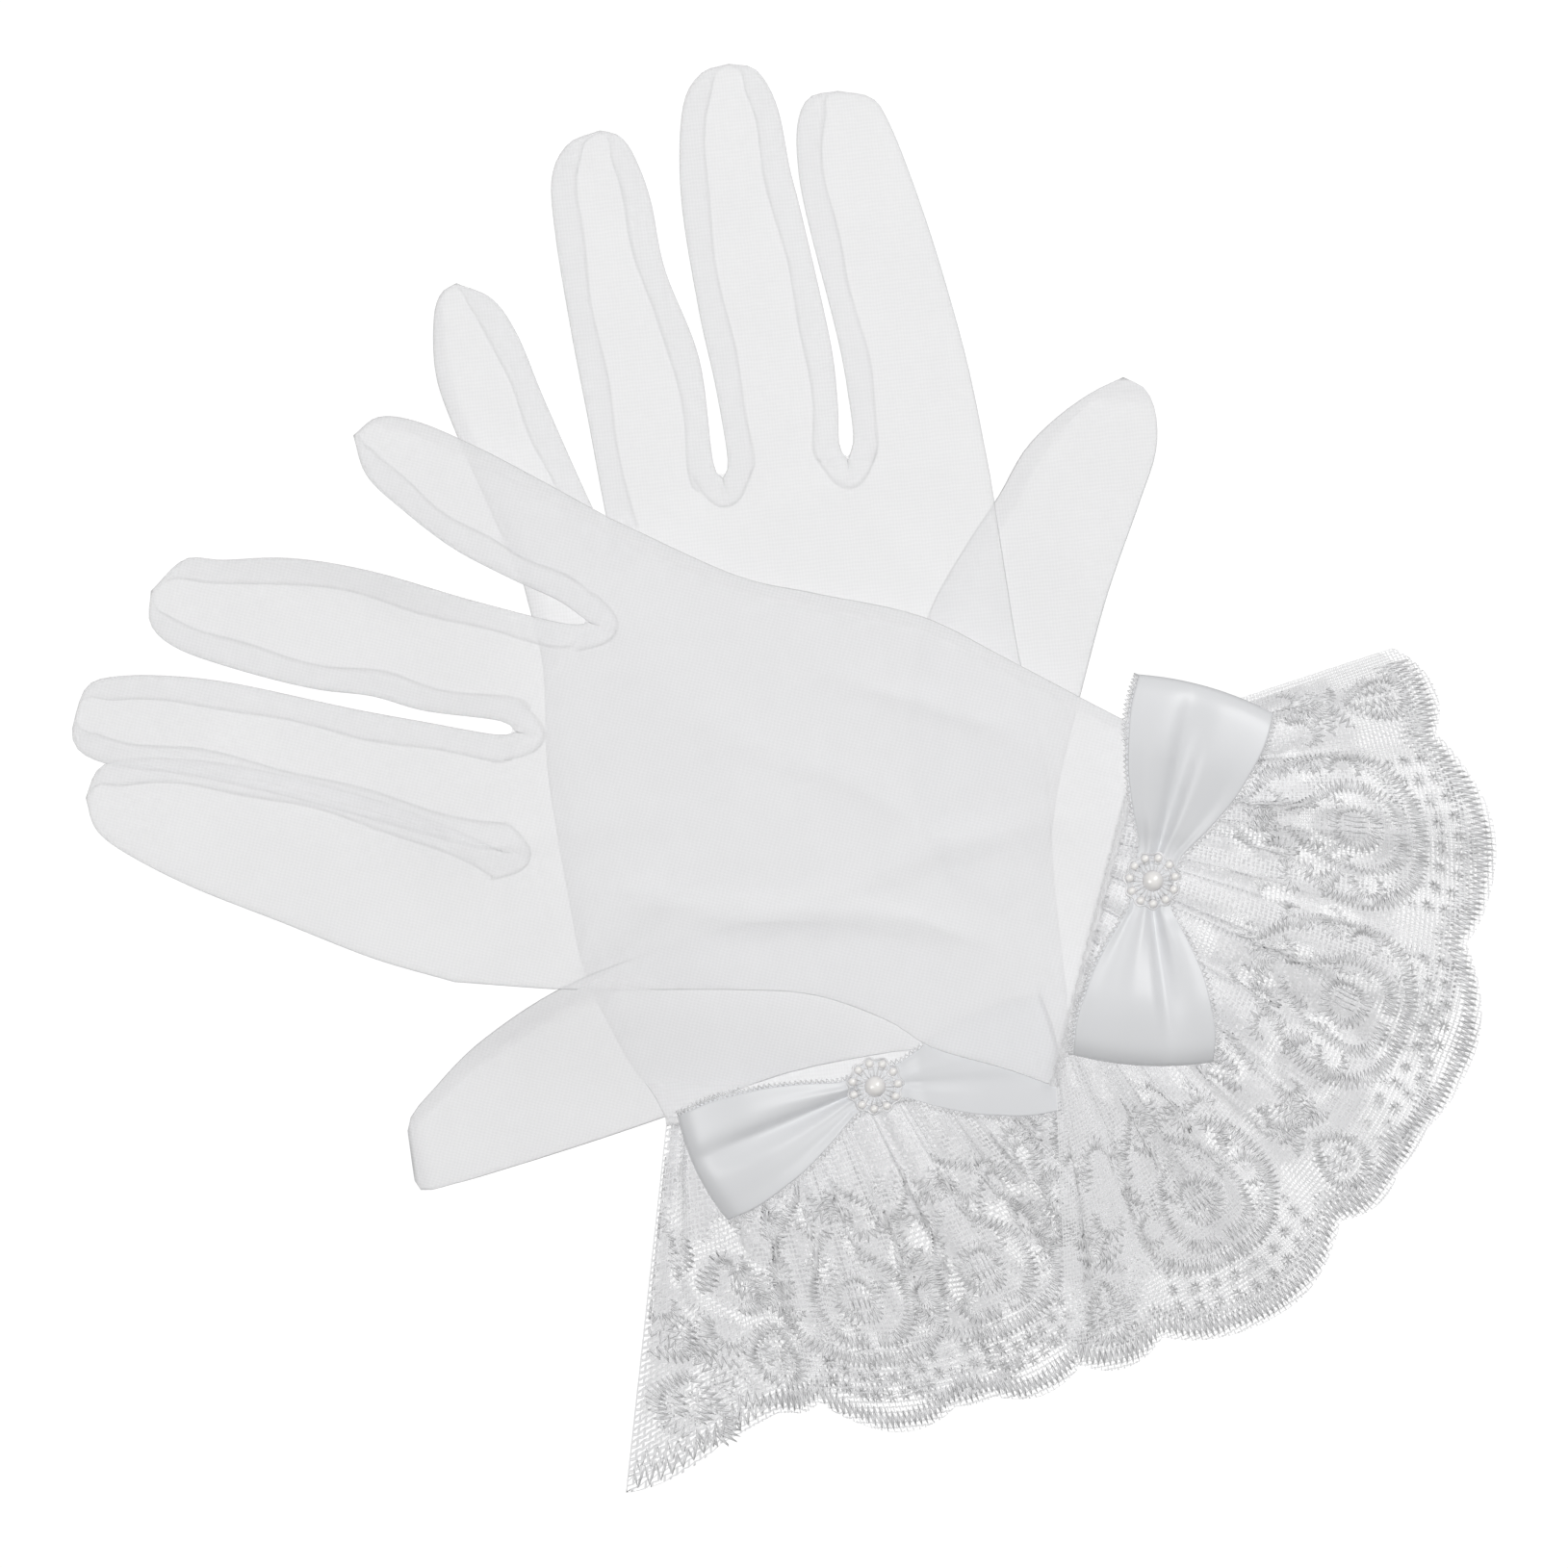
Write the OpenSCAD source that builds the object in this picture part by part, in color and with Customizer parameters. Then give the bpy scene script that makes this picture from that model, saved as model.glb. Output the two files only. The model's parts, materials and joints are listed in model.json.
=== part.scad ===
// A pair of sheer bridal gloves with gathered lace cuffs, ribbon bows and pearl clusters.
// Both gloves lie flat with the back of the hand up, the right glove across the left one.
// Each glove is drawn in its own frame: the middle of the wrist seam is the origin, the
// fingers point along +Y, the thumb is on the +X side and Z is the height of the layers.

/* [Fabric] */
// Thickness of one sheet of sheer knit
sheet_t = 0.3; // [0.2:0.05:0.4]
// Room for the hand between the palm sheet and the back sheet
hand_gap = 1.3; // [1:0.1:2]
// Width of a side or tip seam
seam_w = 0.7; // [0.5:0.1:1]
// Clearance between pieces that move past each other
fold_gap = 0.4; // [0.3:0.05:0.6]
// Clearance between the upper glove and what lies under it
stack_gap = 0.7; // [0.7:0.05:1.5]

/* [Fingers] */
// Width of the little, ring, middle and index stall at its root
root_w = [19.5, 22, 23, 26.5]; // [14:0.5:30]
// Width of the same stalls where their round tips begin
tip_w = [14.5, 17, 18, 17]; // [10:0.5:22]
// Depth of the round tip of a stall
tip_depth = 8.5; // [6:0.5:12]
// Length of the left glove's little, ring, middle and index stall
left_len = [57, 70, 75.5, 71.5]; // [45:0.5:90]
// Length of the right glove's little, ring, middle and index stall
right_len = [52.5, 73.5, 81, 77]; // [45:0.5:90]
// Lean of the left glove's stalls towards the little side, degrees
left_splay = [15, 6.5, 3.5, 7]; // [-5:0.5:20]
// Lean of the right glove's stalls towards the little side, degrees
right_splay = [13.5, -4.5, -4, 1]; // [-5:0.5:20]
// Stretch of each left stall between its root and its fold line
left_fold_at = [34, 5, 3, 3]; // [2:0.5:40]
// Stretch of each right stall between its root and its fold line
right_fold_at = [3, 3, 3, 3]; // [2:0.5:40]

/* [Palm] */
// From the wrist seam to the roots of the left little, ring, middle and index stall
left_root_y = [101, 113, 117, 113.5]; // [90:0.5:130]
// From the wrist seam to the roots of the right little, ring, middle and index stall
right_root_y = [103.5, 110.5, 111, 108.5]; // [90:0.5:130]
// Width of the left glove at the wrist, heel, mid palm and upper palm
left_palm_w = [74, 88, 90.5, 88.5]; // [60:0.5:100]
// Width of the right glove at the wrist, heel, mid palm and upper palm
right_palm_w = [68, 70.5, 73.5, 80]; // [60:0.5:100]

/* [Thumb] */
// Length of the thumb piece beyond the middle of its seam
thumb_len = 77; // [65:1:85]
// Half width of the thumb piece at its root, middle, shoulder and tip
thumb_half = [16.5, 13, 10, 6]; // [4:0.5:18]
// Reach of the thumb piece behind the middle of its seam
thumb_heel = 22; // [16:1:26]

/* [Fourchettes] */
// Width of the folded strip between two stalls
fourchette_w = 4.5; // [3:0.25:5.5]
// Wall of the folded strip
fourchette_t = 0.25; // [0.2:0.05:0.4]
// Radius of the bottom of a slit between two stalls
slit_r = 0.8; // [0.6:0.1:1.5]

/* [Lace cuff] */
// Reach of the left and right cuff, from the fan's centre to the scallops
cuff_reach = [70, 84.5]; // [60:0.5:90]
// How far a large and a small scallop stand out
scallop_rise = [6, 3.5]; // [2:0.5:8]
// Length of a large and a small scallop along the edge
scallop_len = [39, 17.5]; // [12:0.5:44]
// Width of the wrist binding
binding_w = 1.6; // [1:0.2:3]
// Width of the satin-stitched edging
edging_w = 3; // [2:0.25:4]
// Plain net outside the edging
edging_margin = 1; // [0.5:0.25:3]
// Height of the embroidery over the net
embroidery_h = 0.4; // [0.2:0.05:0.8]
// From the peak of a large scallop to the middle of its medallion
medallion_inset = 26; // [20:0.5:30]
// Outer radius of a round medallion
medallion_r = 5.25; // [4:0.25:7]
// Length of an embroidered leaf
leaf_len = 7; // [5:0.5:9]
// Radius of a star knot
knot_r = 1.1; // [0.8:0.1:1.4]
// Distance between star knots
knot_pitch = 3.3; // [2.6:0.1:5]

/* [Bow] */
// Width across the loops of the left and right bow as they lie
bow_w = [21, 25.4]; // [16:0.2:30]
// Length of the loops on the little side, left and right glove
bow_little_len = [35.5, 36]; // [25:0.5:45]
// Length of the loops on the thumb side, left and right glove
bow_thumb_len = [33, 33]; // [25:0.5:45]
// Puffed height of a free loop
bow_h = 7.5; // [5:0.5:12]
// Thickness of the satin ribbon
ribbon_t = 0.35; // [0.25:0.05:0.5]
// Width of the loops where the centre wrap gathers them
bow_neck_w = 8; // [6:0.5:12]

/* [Pearls] */
// Diameter of the centre pearl
pearl_d = 3.9; // [3:0.1:5]
// Diameter of a ring bead
bead_d = 1.6; // [1:0.1:2]
// Number of ring beads
bead_n = 11; // [8:1:13]
// Radius of the ring of beads
bead_ring_r = 4.3; // [3.8:0.1:5]
// Diameter of the beading thread
thread_d = 0.4; // [0.3:0.05:0.6]

/* [Hidden] */
LEFT = 0;
RIGHT = 1;
FINGERS = [0, 1, 2, 3];              // little, ring, middle, index

// Layers of one glove, from the table up: thumb piece, palm sheet, hand, back sheet
thumb_top = 4 * sheet_t;
palm_z = thumb_top;
hand_z = palm_z + sheet_t;
back_z = hand_z + hand_gap;
top_z = back_z + sheet_t;
cuff_z = [0, palm_z];                // lower net of the left and right cuff
bow_z = top_z + embroidery_h + 0.1;  // lowest ribbon of a bow
wrap_h = 3;                          // height of the centre wrap over bow_z

// How each glove lies: middle of the wrist seam, turn, mirrored or not, height
frame_shift = [-0.36, -0.81];
glove_at = [[15.3, -58.6], [57.9, -23]];
glove_turn = [5.9, 75.5];
glove_flip = [0, 1];
glove_z = [0, top_z + stack_gap];

// Droop of the stalls and thumb towards the table, degrees
droop = [[0, 0.8, 0.7, 0.8], [0, 3, 2.8, 2.8]];
thumb_droop = [0, 4];

// Palm stations up from the wrist seam, and where the palm's middle lies at each
station_y = [0, 32, 58, 85];
palm_mid = [[0, -5.2, -6.2, -7.8], [0, -5.2, -5.5, -2.7]];
// Little-side edge of the row of stall roots
knuckle_x = [-55.5, -47.5];

// Thumb seam middle, lean of the thumb, fold line, and the oval hole it is sewn to
thumb_at = [[26, 57], [23.6, 52]];
thumb_lean = [-28.5, -41.5];
thumb_fold_at = [54, 43];
hole_at = [[25, 56], [20, 48]];
hole_lean = [-8, -12];
hole_half = [[9, 20], [6, 19]];

// Centre of each cuff's fan, its first and last direction, its scallops from the little
// side on (0 large, 1 small), and the longer net at its little-side corner
fan_at = [[1.5, 14], [3.4, 16]];
fan_from = [-123, -138];
fan_to = [-26, -22];
lobe_sizes = [[1, 1, 0, 0, 1, 0], [1, 0, 0, 1, 0, 1]];
corner_turn = [0.5, 3];
corner_drop = [27, 0];
spray_inset = 17;                    // from a small scallop's peak to the middle of its spray
spray_gap = [9, 11];                 // from a medallion to the middle of the spray above it

// Bow centre, and the turn and height of its loops on the little and thumb side
bow_at = [[1.9, 2.5], [-7, -8]];
loop_turn = [[19.5, 4], [1.5, -11.5]];
loop_h = [[bow_h, 1.2], [bow_h, bow_h]];

knit = [0.93, 0.93, 0.94];
net = [0.96, 0.96, 0.97];
rayon = [0.88, 0.88, 0.88];
satin = [0.82, 0.83, 0.84];
pearl_white = [0.95, 0.94, 0.9];

// ---- sizes that depend on the finger or the side ------------------------------------
function stall_len(s) = s == LEFT ? left_len : right_len;
function splay(s) = s == LEFT ? left_splay : right_splay;
function fold_at(s) = s == LEFT ? left_fold_at : right_fold_at;
function root_y(s) = s == LEFT ? left_root_y : right_root_y;
function palm_w(s) = s == LEFT ? left_palm_w : right_palm_w;

function sum_to(v, n) = n <= 0 ? 0 : v[n - 1] + sum_to(v, n - 1);
function root_at(s, f) = [knuckle_x[s] + sum_to(root_w, f) + root_w[f] / 2, root_y(s)[f]];
function taper(s, f) = atan((root_w[f] / 2 - slit_r - tip_w[f] / 2) / (stall_len(s)[f] - tip_depth));
// Half width of a stall at a distance u from its root
function half_w(s, f, u) = root_w[f] / 2 - slit_r - u * tan(taper(s, f));

function turned(p, a) = [p[0] * cos(a) - p[1] * sin(a), p[0] * sin(a) + p[1] * cos(a)];
// A point of a stall, given across and along it, in the glove's frame
function on_stall(s, f, p) = root_at(s, f) + turned(p, splay(s)[f]);
function oval(half, n = 24) =
    [for (i = [0:n - 1]) [half[0] * cos(i * 360 / n), half[1] * sin(i * 360 / n)]];
function reversed(v) = [for (i = [len(v) - 1:-1:0]) v[i]];

// ---- placing ------------------------------------------------------------------------
module lay(s) {
    translate([glove_at[s][0] + frame_shift[0], glove_at[s][1] + frame_shift[1], glove_z[s]])
        rotate([0, 0, glove_turn[s]])
            mirror([glove_flip[s], 0, 0])
                children();
}

// The frame of a stall: origin at its root, +Y to its tip
module at_stall(s, f) {
    translate([root_at(s, f)[0], root_at(s, f)[1], 0])
        rotate([0, 0, splay(s)[f]])
            children();
}

// Turned down about the fold line, which lies at the top of the layers
module drooped(fold, top, angle) {
    translate([0, fold, top])
        rotate([-angle, 0, 0])
            translate([0, -fold, -top])
                children();
}

module slab(z, t) {
    translate([0, 0, z])
        linear_extrude(t)
            children();
}

// ---- finger stalls --------------------------------------------------------------------
function tip_arc(half, y, depth) = [for (a = [0:15:180]) [half * cos(a), y + depth * sin(a)]];

function stall_outline(s, f, from) = concat(
    [[-half_w(s, f, from), from], [half_w(s, f, from), from]],
    tip_arc(tip_w[f] / 2, stall_len(s)[f] - tip_depth, tip_depth));

// The hollow of a stall: open along a fourchette, closed along a seam or fold
module stall_hollow(s, f, from) {
    straight = stall_len(s)[f] - tip_depth;
    little_side = f == 0 ? -seam_w : 1;
    thumb_side = f == 3 ? -seam_w : 1;
    polygon([[-half_w(s, f, from) - little_side, from - 1], [half_w(s, f, from) + thumb_side, from - 1],
             [tip_w[f] / 2 + thumb_side, straight], [-tip_w[f] / 2 - little_side, straight]]);
    polygon(tip_arc(tip_w[f] / 2 - seam_w, straight - 0.01, tip_depth - seam_w));
}

module stall(s, f) {
    from = fold_at(s)[f] + fold_gap;
    color(knit)
        lay(s) at_stall(s, f) drooped(fold_at(s)[f], top_z, droop[s][f])
            difference() {
                slab(palm_z, top_z - palm_z) polygon(stall_outline(s, f, from));
                slab(hand_z, hand_gap) stall_hollow(s, f, from);
            }
}

// Cross-section of a fourchette: a strip folded in two, its mouth towards the slit
module folded_strip_profile() {
    half = hand_gap / 2;
    polygon([[0, -half], [fourchette_w, -half], [fourchette_w, half], [0, half],
             [0, half - fourchette_t], [fourchette_w - fourchette_t, half - fourchette_t],
             [fourchette_w - fourchette_t, fourchette_t - half], [0, fourchette_t - half]]);
}

// One leg along a stall's edge, side -1 towards the little finger and +1 towards the thumb
module fourchette_leg(s, f, side, from, to) {
    translate([side * half_w(s, f, from), from, hand_z + hand_gap / 2])
        rotate([0, 0, side * taper(s, f)])
            mirror([side > 0 ? 1 : 0, 0, 0])
                rotate([-90, 0, 0])
                    linear_extrude((to - from) / cos(taper(s, f)))
                        folded_strip_profile();
}

module stall_fourchettes(s, f) {
    from = fold_at(s)[f] + fold_gap;
    to = stall_len(s)[f] - tip_depth;
    color(knit)
        lay(s) at_stall(s, f) drooped(fold_at(s)[f], top_z, droop[s][f]) {
            if (f > 0) fourchette_leg(s, f, -1, from, to);
            if (f < 3) fourchette_leg(s, f, 1, from, to);
        }
}

// The bends of the three fourchettes round the bottoms of the slits, with their short legs
module fourchette_bends(s) {
    color(knit)
        lay(s)
            for (f = [0:2]) {
                lower = on_stall(s, f, [half_w(s, f, 0), 0]);
                upper = on_stall(s, f + 1, [-half_w(s, f + 1, 0), 0]);
                lean_in = splay(s)[f] + taper(s, f);
                lean_out = splay(s)[f + 1] - taper(s, f + 1);
                translate([(lower[0] + upper[0]) / 2, (lower[1] + upper[1]) / 2, hand_z + hand_gap / 2])
                    rotate([0, 0, 180 + lean_in])
                        rotate_extrude(angle = 180 + lean_out - lean_in, $fn = 48)
                            translate([slit_r, 0])
                                folded_strip_profile();
                at_stall(s, f) fourchette_leg(s, f, 1, slit_r, fold_at(s)[f]);
                at_stall(s, f + 1) fourchette_leg(s, f + 1, -1, slit_r, fold_at(s)[f + 1]);
            }
}

// ---- palm and back ----------------------------------------------------------------------
// Outline of palm and back, its sides moved in by inset and its wrist end moved out by open
function palm_outline(s, inset, open) = concat(
    [for (i = [0:3])
        [palm_mid[s][i] + palm_w(s)[i] / 2 - inset, station_y[i] - (i == 0 ? open : 0)]],
    [on_stall(s, 3, [half_w(s, 3, 0) - inset, 0])],
    [for (f = [3:-1:0]) on_stall(s, f, [0, 0])],
    [on_stall(s, 0, [inset - half_w(s, 0, 0), 0])],
    [for (i = [3:-1:0])
        [palm_mid[s][i] - palm_w(s)[i] / 2 + inset, station_y[i] - (i == 0 ? open : 0)]]);

// The root of each stall up to its fold line, inset on its closed sides only
module stall_root(s, f, inset, open) {
    little = f == 0 ? -inset : (open > 0 ? 1 : 0);
    thumb = f == 3 ? -inset : (open > 0 ? 1 : 0);
    fold = fold_at(s)[f];
    translate(root_at(s, f))
        rotate(splay(s)[f])
            polygon([[-half_w(s, f, 0) - little, 0], [0, -root_w[f] / 2], [half_w(s, f, 0) + thumb, 0],
                     [half_w(s, f, fold) + thumb, fold + open],
                     [-half_w(s, f, fold) - little, fold + open]]);
}

module thumb_hole(s) {
    translate(hole_at[s]) rotate(hole_lean[s]) polygon(oval(hole_half[s]));
}

// Palm and back in one piece, folded along the index side and sewn along the little side
module trank(s) {
    color(knit)
        lay(s)
            difference() {
                slab(palm_z, top_z - palm_z) {
                    polygon(palm_outline(s, 0, 0));
                    for (f = FINGERS) stall_root(s, f, 0, 0);
                }
                slab(hand_z, hand_gap) {
                    polygon(palm_outline(s, seam_w, 1));
                    for (f = FINGERS) stall_root(s, f, seam_w, 1);
                }
                slab(palm_z - 1, sheet_t + 1.1) thumb_hole(s);
            }
}

// ---- thumb --------------------------------------------------------------------------------
function thumb_outline(inset) = concat(
    [for (a = [180:15:360]) [(thumb_half[0] - inset) * cos(a), (thumb_heel - inset) * sin(a)]],
    [[thumb_half[0] - inset, 0.3 * thumb_len], [thumb_half[1] - inset, 0.65 * thumb_len],
     [thumb_half[2] - inset, 0.87 * thumb_len], [thumb_half[3] - inset, thumb_len - inset - 1],
     [0, thumb_len - inset],
     [inset - thumb_half[3], thumb_len - inset - 1], [inset - thumb_half[2], 0.87 * thumb_len],
     [inset - thumb_half[1], 0.65 * thumb_len], [inset - thumb_half[0], 0.3 * thumb_len]]);

module at_thumb(s) {
    translate([thumb_at[s][0], thumb_at[s][1], 0])
        rotate([0, 0, thumb_lean[s]])
            children();
}

// The thumb sheets between two distances along the thumb
module thumb_between(from, to) {
    wide = 2 * thumb_half[0] + 10;
    difference() {
        slab(0, thumb_top)
            intersection() {
                polygon(thumb_outline(0));
                translate([-wide / 2, from]) square([wide, to - from]);
            }
        slab(sheet_t, thumb_top - 2 * sheet_t) polygon(thumb_outline(seam_w));
    }
}

// The part of the thumb piece under the palm, with the hole that its seam goes round
module thumb_root(s) {
    color(knit)
        lay(s)
            difference() {
                at_thumb(s) thumb_between(-thumb_heel - 1, thumb_fold_at[s]);
                slab(thumb_top - sheet_t - 0.1, sheet_t + 1) thumb_hole(s);
            }
}

module thumb_stall(s) {
    color(knit)
        lay(s) at_thumb(s) drooped(thumb_fold_at[s], thumb_top, thumb_droop[s])
            thumb_between(thumb_fold_at[s] + fold_gap, thumb_len + 1);
}

// ---- wrist and lace cuff ------------------------------------------------------------------
// The seam band that gathers the lace on to the wrist
module wrist_binding(s) {
    wide = palm_w(s)[0];
    color(net)
        lay(s)
            translate([-wide / 2, -binding_w, 0])
                difference() {
                    translate([0, 0, cuff_z[s]]) cube([wide, binding_w, top_z - cuff_z[s]]);
                    translate([seam_w, -1, hand_z]) cube([wide - 2 * seam_w, binding_w + 2, hand_gap]);
                }
}

// The scallops share out the fan by their lengths; each starts where the last one ends
LOBES = [0:5];
function lobe_lens(s) = [for (size = lobe_sizes[s]) scallop_len[size]];
function lobe_from(s, i) = fan_from[s]
    + (fan_to[s] - fan_from[s]) * sum_to(lobe_lens(s), i) / sum_to(lobe_lens(s), len(lobe_lens(s)));
function lobe_turn(s, i) = lobe_from(s, i + 1) - lobe_from(s, i);
function rise(s, i) = scallop_rise[lobe_sizes[s][i]];
function polar(c, r, a) = [c[0] + r * cos(a), c[1] + r * sin(a)];

// Points along the scallops, moved in from the edge
function lobe_points(s, i, inset, n = 10) = [for (j = [0:n])
    polar(fan_at[s], cuff_reach[s] - inset + rise(s, i) * sin(180 * j / n),
          lobe_from(s, i) + lobe_turn(s, i) * j / n)];
function edge_points(s, inset) = [for (i = LOBES) each lobe_points(s, i, inset)];

// Outline of the fan, its sides moved in by inset and its ends moved out by open
function cuff_outline(s, inset, open) = concat(
    [[-palm_w(s)[0] / 2 + inset, -binding_w + open]],
    [polar(fan_at[s], cuff_reach[s] + corner_drop[s] + open, fan_from[s] - corner_turn[s] + inset)],
    edge_points(s, -open),
    [[palm_w(s)[0] / 2 - inset, -binding_w + open]]);

// Net of the cuff: a front and a back layer that meet at the two sides of the fan
module cuff_net(s) {
    color(net)
        lay(s)
            difference() {
                slab(cuff_z[s], top_z - cuff_z[s]) polygon(cuff_outline(s, 0, 0));
                slab(cuff_z[s] + sheet_t, top_z - cuff_z[s] - 2 * sheet_t)
                    polygon(cuff_outline(s, seam_w, 2));
            }
}

// Satin-stitched edging along the scallops, on the front and the back layer
module cuff_edging(s) {
    outer = edge_points(s, edging_margin);
    inner = edge_points(s, edging_margin + edging_w);
    color(rayon)
        lay(s)
            for (z = [top_z, cuff_z[s] + sheet_t])
                slab(z, embroidery_h)
                    intersection() {
                        polygon(concat(outer, reversed(inner)));
                        polygon(cuff_outline(s, seam_w, 2));
                    }
}

// Middle of a lobe's pattern, a distance in from its edge
module at_lobe(s, i, inward) {
    middle = lobe_from(s, i) + lobe_turn(s, i) / 2;
    p = polar(fan_at[s], cuff_reach[s] + rise(s, i) - inward, middle);
    translate([p[0], p[1], top_z])
        rotate([0, 0, middle + 90])
            children();
}

// A ring of stitches with bars across it, in each large scallop
module cuff_medallions(s) {
    ring_w = 0.42 * medallion_r;
    bar_w = 0.7;
    color(rayon)
        lay(s)
            for (i = LOBES) if (lobe_sizes[s][i] == 0)
                at_lobe(s, i, medallion_inset)
                    linear_extrude(embroidery_h) {
                        difference() {
                            circle(r = medallion_r, $fn = 32);
                            circle(r = medallion_r - ring_w, $fn = 32);
                        }
                        for (k = [-1, 0, 1])
                            translate([k * 2 * bar_w - bar_w / 2, -medallion_r + ring_w / 2])
                                square([bar_w, 2 * medallion_r - ring_w]);
                    }
}

// Two rows of star knots inside the edging of each large scallop
module cuff_knots(s) {
    color(rayon)
        lay(s)
            for (i = LOBES, row = [0, 1]) if (lobe_sizes[s][i] == 0) {
                inset = edging_margin + edging_w + 2.2 + row * knot_pitch;
                turn = knot_pitch / cuff_reach[s] * 180 / PI;
                half_n = floor(lobe_turn(s, i) / turn / 2) - 2;
                middle = lobe_from(s, i) + lobe_turn(s, i) / 2;
                for (k = [-half_n:half_n]) {
                    bulge = scallop_rise[0] * cos(180 * k * turn / lobe_turn(s, i));
                    p = polar(fan_at[s], cuff_reach[s] - inset + bulge, middle + k * turn);
                    translate([p[0], p[1], top_z]) cylinder(r = knot_r, h = embroidery_h, $fn = 16);
                }
            }
}

function leaf_outline(length, half) = concat(
    [for (t = [0:0.25:1]) [half * sin(180 * t), length * t]],
    [for (t = [0.75:-0.25:0.25]) [-half * sin(180 * t), length * t]]);

// A spray of leaves in each small scallop, and a smaller one above each medallion
module cuff_leaves(s) {
    stem = 2;
    color(rayon)
        lay(s)
            for (i = LOBES) let (small = lobe_sizes[s][i] == 1)
                at_lobe(s, i, small ? spray_inset : medallion_inset + spray_gap[s])
                    for (a = small ? [-120, -60, 0, 60, 120, 180] : [-70, 0, 70])
                        rotate([0, 0, a])
                            translate([0, stem, 0])
                                linear_extrude(embroidery_h)
                                    polygon(leaf_outline(leaf_len, leaf_len / 5));
}

// ---- bow --------------------------------------------------------------------------------
// The frame of the bow, turned as one of its loops or, for the wrap, as the mean of both
module at_bow(s, turn) {
    translate([bow_at[s][0], bow_at[s][1], bow_z])
        rotate([0, 0, turn])
            children();
}
function wrap_turn(s) = (loop_turn[s][0] + loop_turn[s][1]) / 2;

wrap_half = 3;                       // half length of the centre wrap

neck_from = 0.6;                     // where a loop starts inside the wrap
neck_play = 0.9;                     // room beside the loops inside the wrap

// Side view of a loop: pinched in the wrap, rising to its full height and round at its end
function loop_side(length, height, inset) = let (r = height / 2 - inset) concat(
    [[neck_from, ribbon_t * 1.05 + inset], [wrap_half + 0.3, ribbon_t * 1.05 + inset]],
    [for (a = [-90:18:90]) [length - height / 2 + r * cos(a), height / 2 + r * sin(a)]],
    [for (x = [wrap_half + 0.3, neck_from]) [x, min(height, wrap_h - 1.05 * ribbon_t) - inset]]);

// A ribbon loop open at both sides, wide at its end and gathered at the wrap
module bow_loop(s, side) {
    length = side < 0 ? bow_little_len[s] : bow_thumb_len[s];
    height = loop_h[s][side < 0 ? 0 : 1];
    neck = bow_neck_w / 2 - neck_play;
    color(satin)
        lay(s) at_bow(s, loop_turn[s][side < 0 ? 0 : 1]) mirror([side < 0 ? 1 : 0, 0, 0])
            intersection() {
                rotate([90, 0, 0])
                    translate([0, 0, -bow_w[s]])
                        linear_extrude(2 * bow_w[s])
                            difference() {
                                polygon(loop_side(length, height, 0));
                                polygon(loop_side(length, height, ribbon_t));
                            }
                linear_extrude(bow_h + wrap_h)
                    polygon([[0, -neck], [wrap_half, -neck], [length / 2, -bow_w[s] * 0.42],
                             [length, -bow_w[s] / 2], [length, bow_w[s] / 2],
                             [length / 2, bow_w[s] * 0.42], [wrap_half, neck], [0, neck]]);
            }
}

// The short band round the middle of the bow
module bow_wrap(s) {
    color(satin)
        lay(s) at_bow(s, wrap_turn(s))
            translate([-wrap_half, -bow_neck_w / 2 - ribbon_t, 0])
                difference() {
                    cube([2 * wrap_half, bow_neck_w + 2 * ribbon_t, wrap_h]);
                    translate([-1, ribbon_t, ribbon_t])
                        cube([2 * wrap_half + 2, bow_neck_w, wrap_h - 2 * ribbon_t]);
                }
}

// ---- pearl cluster ------------------------------------------------------------------------
module at_cluster(s) {
    at_bow(s, wrap_turn(s)) translate([0, 0, wrap_h]) children();
}

module pearl(s) {
    color(pearl_white)
        lay(s) at_cluster(s)
            translate([0, 0, thread_d + pearl_d / 2]) sphere(d = pearl_d, $fn = 32);
}

module bead_ring(s) {
    color(pearl_white)
        lay(s) at_cluster(s)
            for (i = [0:bead_n - 1])
                rotate([0, 0, i * 360 / bead_n])
                    translate([bead_ring_r, 0, thread_d + bead_d / 2])
                        sphere(d = bead_d, $fn = 24);
}

// The thread that carries the beads: a ring under them and one spoke to the pearl for each
module bead_thread(s) {
    color(rayon)
        lay(s) at_cluster(s) {
            difference() {
                cylinder(r = bead_ring_r + thread_d, h = thread_d, $fn = 48);
                translate([0, 0, -1]) cylinder(r = bead_ring_r - thread_d, h = thread_d + 2, $fn = 48);
            }
            for (i = [0:bead_n - 1])
                rotate([0, 0, i * 360 / bead_n])
                    translate([0, -thread_d / 2, 0]) cube([bead_ring_r - thread_d / 2, thread_d, thread_d]);
        }
}

trank(LEFT);  // left_trank
stall(LEFT, 3);  // left_index_stall
stall(LEFT, 2);  // left_middle_stall
stall(LEFT, 1);  // left_ring_stall
stall(LEFT, 0);  // left_little_stall
stall_fourchettes(LEFT, 3);  // left_index_fourchette
stall_fourchettes(LEFT, 2);  // left_middle_fourchettes
stall_fourchettes(LEFT, 1);  // left_ring_fourchettes
stall_fourchettes(LEFT, 0);  // left_little_fourchette
fourchette_bends(LEFT);  // left_fourchette_bends
thumb_root(LEFT);  // left_thumb_root
thumb_stall(LEFT);  // left_thumb_stall
wrist_binding(LEFT);  // left_wrist_binding
cuff_net(LEFT);  // left_cuff_net
cuff_edging(LEFT);  // left_cuff_edging
cuff_medallions(LEFT);  // left_cuff_medallions
cuff_knots(LEFT);  // left_cuff_knots
cuff_leaves(LEFT);  // left_cuff_leaves
bow_loop(LEFT, -1);  // left_bow_little_loop
bow_loop(LEFT, 1);  // left_bow_thumb_loop
bow_wrap(LEFT);  // left_bow_wrap
pearl(LEFT);  // left_pearl
bead_ring(LEFT);  // left_bead_ring
bead_thread(LEFT);  // left_bead_thread
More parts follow.
